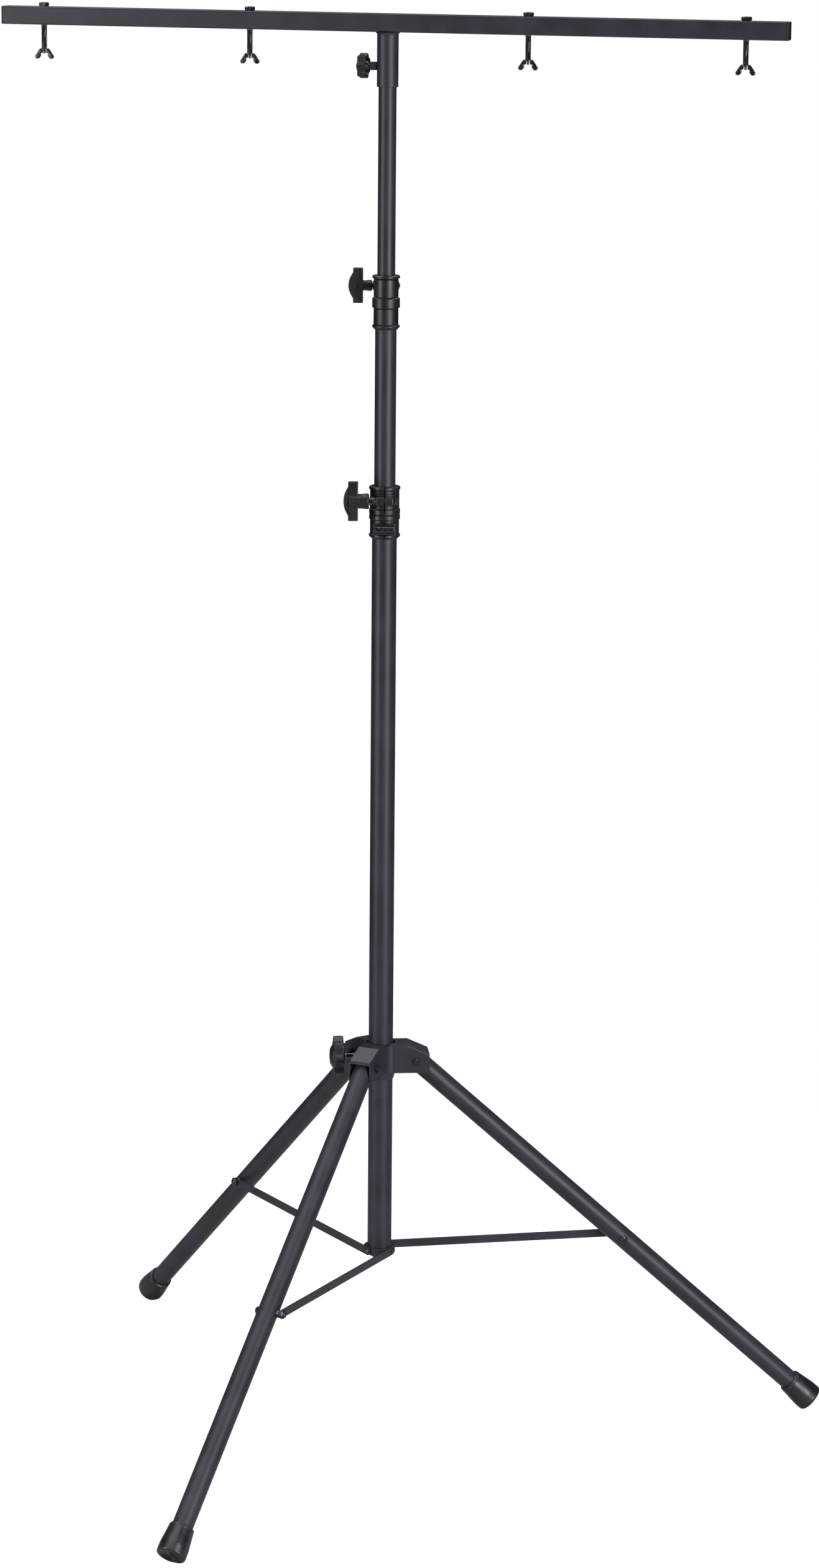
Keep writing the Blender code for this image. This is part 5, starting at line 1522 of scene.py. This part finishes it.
class MakeBracket(StandOperator):
    """Cup at the foot of the mast with a flat for each brace, and its rivets"""

    bl_idname = "stand.make_bracket"
    bl_label = "Brace bracket"

    def build(self, shape):
        cup = Span("strut_bracket", MAST)
        tube = Span("base_tube", MAST)
        sides = leg_sides()
        flat = min(abs(Vector(leg_place(name)[1]).dot(vertex.co - MAST.translation))
                   for name in LEGS[:1] for vertex in self.outer_points(name))
        reach = math.acos(flat / cup.outer)
        outline = []
        for turn in sides:
            start = turn + math.pi / 2 + reach
            sweep = 2 * math.pi / 3 - 2 * reach
            count = 8
            outline += [(cup.outer * math.cos(start + sweep * i / count),
                         cup.outer * math.sin(start + sweep * i / count))
                        for i in range(count + 1)]
        body = plate("strut_bracket_cup", [outline], cup.high - cup.low, CUP_EDGE)
        move(body, Matrix.Translation((0, 0, (cup.high + cup.low) / 2)))
        bore = rod("cup_bore", tube.outer + GAP, tube.low - GAP, cup.high + 0.01,
                   steps=TUBE_STEPS)
        settle(shade(cut(body, bore)), ["strut_bracket"], MAST)

        turn = Matrix.Rotation(sides[0], 4, "Z")
        pin_height = joint("strut_right_fold")["pos_m"][2]
        level = MAST @ Matrix.Translation((0, 0, pin_height))
        pin = placed((0, 0, 0), Y_AXIS, Z_AXIS)
        size = Span("strut_rivet_right", level @ turn @ pin)
        top, seat = size.high, size.high - 0.0020
        rivet = [(0, top), (0.0022, top - 0.0002), (0.0039, top - 0.0011), (size.outer, seat),
                 (RIVET_RADIUS, seat), (RIVET_RADIUS, size.low), (0, size.low)]
        piece = move(lathe("brace_rivet", rounded(rivet, 0.0004, closed=False)), pin)
        settle_copies("brace_rivets", shade(piece), [(0, 0, 0, side) for side in sides], level,
                      ["strut_rivet_" + name for name in LEGS])

    def outer_points(self, name):
        """The bracket's corner points on the side of one leg's brace."""
        side = Vector(leg_place(name)[1])
        points = frame["nodes"]["strut_bracket"].data.vertices
        rim = max(side.dot(vertex.co - MAST.translation) for vertex in points)
        return [vertex for vertex in points
                if side.dot(vertex.co - MAST.translation) > rim - MERGE * 10]


class FinishGuides(StandOperator):
    """Nylon finish on the guides inside the mast, whose shapes are kept"""

    bl_idname = "stand.finish_guides"
    bl_label = "Tube guides"

    def build(self, shape):
        for node in ("mid_guide", "top_guide"):
            mesh = frame["nodes"][node].data
            mesh.materials.clear()
            mesh.materials.append(finish("nylon"))


# name, degrees round the mast from the camera, distance, height, size, its power's setting
SOFTBOXES = (("key_softbox", 38, 3.4, 1.5, (0.9, 2.6), "key"),
             ("fill_softbox", -58, 3.4, 1.4, (0.7, 2.6), "fill"),
             ("back_right", 140, 2.2, 4.6, (1.2, 2.0), "back"),
             ("back_left", -142, 2.2, 4.6, (1.2, 2.0), "back"))


class MakeStudio(bpy.types.Operator):
    """Pale floor, soft lights and the camera"""

    bl_idname = "stand.make_studio"
    bl_label = "Studio"
    bl_options = {"REGISTER", "UNDO"}

    def execute(self, context):
        studio = context.scene.stand_studio
        self.room(context.scene, studio)
        self.floor(studio)
        aim = Vector((MAST.translation.x, MAST.translation.y, 1.0))
        for name, turn, distance, height, size, power in SOFTBOXES:
            self.softbox(name, aim, math.radians(turn), distance, height, size,
                         getattr(studio, power))
        sun = bpy.data.lights.new("top_light", "SUN")
        sun.energy = studio.top
        sun.angle = math.radians(50)
        lamp = bpy.data.objects.new("top_light", sun)
        context.scene.collection.objects.link(lamp)
        lamp.rotation_euler = (math.radians(8), math.radians(-6), 0)
        self.camera(context.scene, studio)
        return {"FINISHED"}

    def room(self, scene, studio):
        world = bpy.data.worlds.new("studio_room")
        world.use_nodes = True
        scene.world = world
        tree = Tree(world.node_tree)
        background = world.node_tree.nodes["Background"]
        background.inputs["Color"].default_value = (1.0, 1.0, 1.0, 1.0)
        background.inputs["Strength"].default_value = studio.room
        pale = tree.node("ShaderNodeBackground", inputs={"Color": (1.0, 1.0, 1.0, 1.0),
                                                         "Strength": 1.0})
        seen = tree.node("ShaderNodeLightPath").outputs["Is Camera Ray"]
        mixed = tree.node("ShaderNodeMixShader", inputs={
            0: seen, 1: background.outputs[0], 2: pale.outputs[0]})
        tree.feed(world.node_tree.nodes["World Output"].inputs[0], mixed.outputs[0])
        scene.view_settings.view_transform = "Standard"

    def floor(self, studio):
        bm = bmesh.new()
        bmesh.ops.create_circle(bm, cap_ends=True, segments=128, radius=studio.floor_radius,
                                matrix=MAST)
        mesh = bpy.data.meshes.new("studio_floor")
        bm.to_mesh(mesh)
        bm.free()
        ground = new_object("studio_floor", mesh)
        paper = Finish("studio_paper", specular=0.1)
        fibre = paper.noise(0.02, 3.0)
        dark, light = shades(tuple(studio.floor), 0.995, 1.005)
        paper.set(base_color=paper.mix(fibre, dark, light))
        paper.shader.inputs["Roughness"].default_value = 0.9
        seen = paper.node("ShaderNodeLightPath").outputs["Is Camera Ray"]
        paper.feed(paper.shader.inputs["Emission Color"], seen)
        paper.shader.inputs["Emission Strength"].default_value = studio.glow
        mesh.materials.append(paper.material)

    def softbox(self, name, aim, turn, distance, height, size, power):
        """A tall soft light; turn is measured round the mast from the camera."""
        studio = bpy.context.scene.stand_studio
        light = bpy.data.lights.new(name, "AREA")
        light.shape = "RECTANGLE"
        light.size, light.size_y = size
        light.energy = power
        lamp = bpy.data.objects.new(name, light)
        bpy.context.scene.collection.objects.link(lamp)
        angle = studio.turn + turn - math.pi / 2
        spot = aim + Vector((math.cos(angle), math.sin(angle), 0)) * distance
        spot.z = height
        back = (spot - aim).normalized()
        lamp.matrix_world = placed(spot, back, Z_AXIS)

    def camera(self, scene, studio):
        data = bpy.data.cameras.new("camera")
        data.sensor_fit = "AUTO"
        data.sensor_width = 36.0
        data.lens = studio.lens
        data.clip_end = 200.0
        data.dof.use_dof = False
        obj = bpy.data.objects.new("camera", data)
        scene.collection.objects.link(obj)
        around = Matrix.Rotation(studio.turn, 4, "Z")
        forward = Vector((math.sin(studio.pan) * math.cos(studio.pitch),
                          math.cos(studio.pan) * math.cos(studio.pitch), math.sin(studio.pitch)))
        right = Vector((math.cos(studio.pan), -math.sin(studio.pan), 0))
        up = right.cross(forward)
        level_right = right * math.cos(studio.roll) + up * math.sin(studio.roll)
        level_up = up * math.cos(studio.roll) - right * math.sin(studio.roll)
        turned = Matrix((level_right, level_up, -forward)).transposed().to_4x4()
        turned.translation = Vector((0, -studio.distance, studio.height + PIVOT_HEIGHT))
        obj.matrix_world = MAST @ around @ turned
        scene.camera = obj


class StandPanel(bpy.types.Panel):
    """Lists what makes the stand, piece by piece."""

    bl_idname = "VIEW3D_PT_stand"
    bl_label = "Lighting stand"
    bl_space_type = "VIEW_3D"
    bl_region_type = "UI"
    bl_category = "Stand"

    def draw(self, context):
        layout = self.layout
        for operator in PIECES:
            layout.operator(operator.bl_idname)
        for group in GROUPS:
            settings = getattr(context.scene, group)
            box = layout.box()
            for name in settings.bl_rna.properties.keys():
                if name not in ("rna_type", "name"):
                    box.prop(settings, name)


PIECES = (MakeMast, MakeLowerClamp, MakeUpperClamp, MakeWingKnobs, MakeStarKnobs, MakeBar,
          MakeBarBolts, MakeWingNuts, MakeSocket, MakeHub, MakePivots, MakeLegs, MakeStruts,
          MakeBracket, FinishGuides, MakeStudio)
GROUPS = {"stand_finish": StandFinish, "stand_shape": StandShape, "stand_studio": StandStudio}


def register():
    for group, settings in GROUPS.items():
        bpy.utils.register_class(settings)
        setattr(bpy.types.Scene, group, bpy.props.PointerProperty(type=settings))
    for operator in PIECES:
        bpy.utils.register_class(operator)
    bpy.utils.register_class(StandPanel)


def unregister():
    bpy.utils.unregister_class(StandPanel)
    for operator in reversed(PIECES):
        bpy.utils.unregister_class(operator)
    for group, settings in GROUPS.items():
        delattr(bpy.types.Scene, group)
        bpy.utils.unregister_class(settings)


def main():
    register()
    for operator in PIECES:
        getattr(bpy.ops.stand, operator.bl_idname.split(".")[1])()


if __name__ == "__main__":
    main()
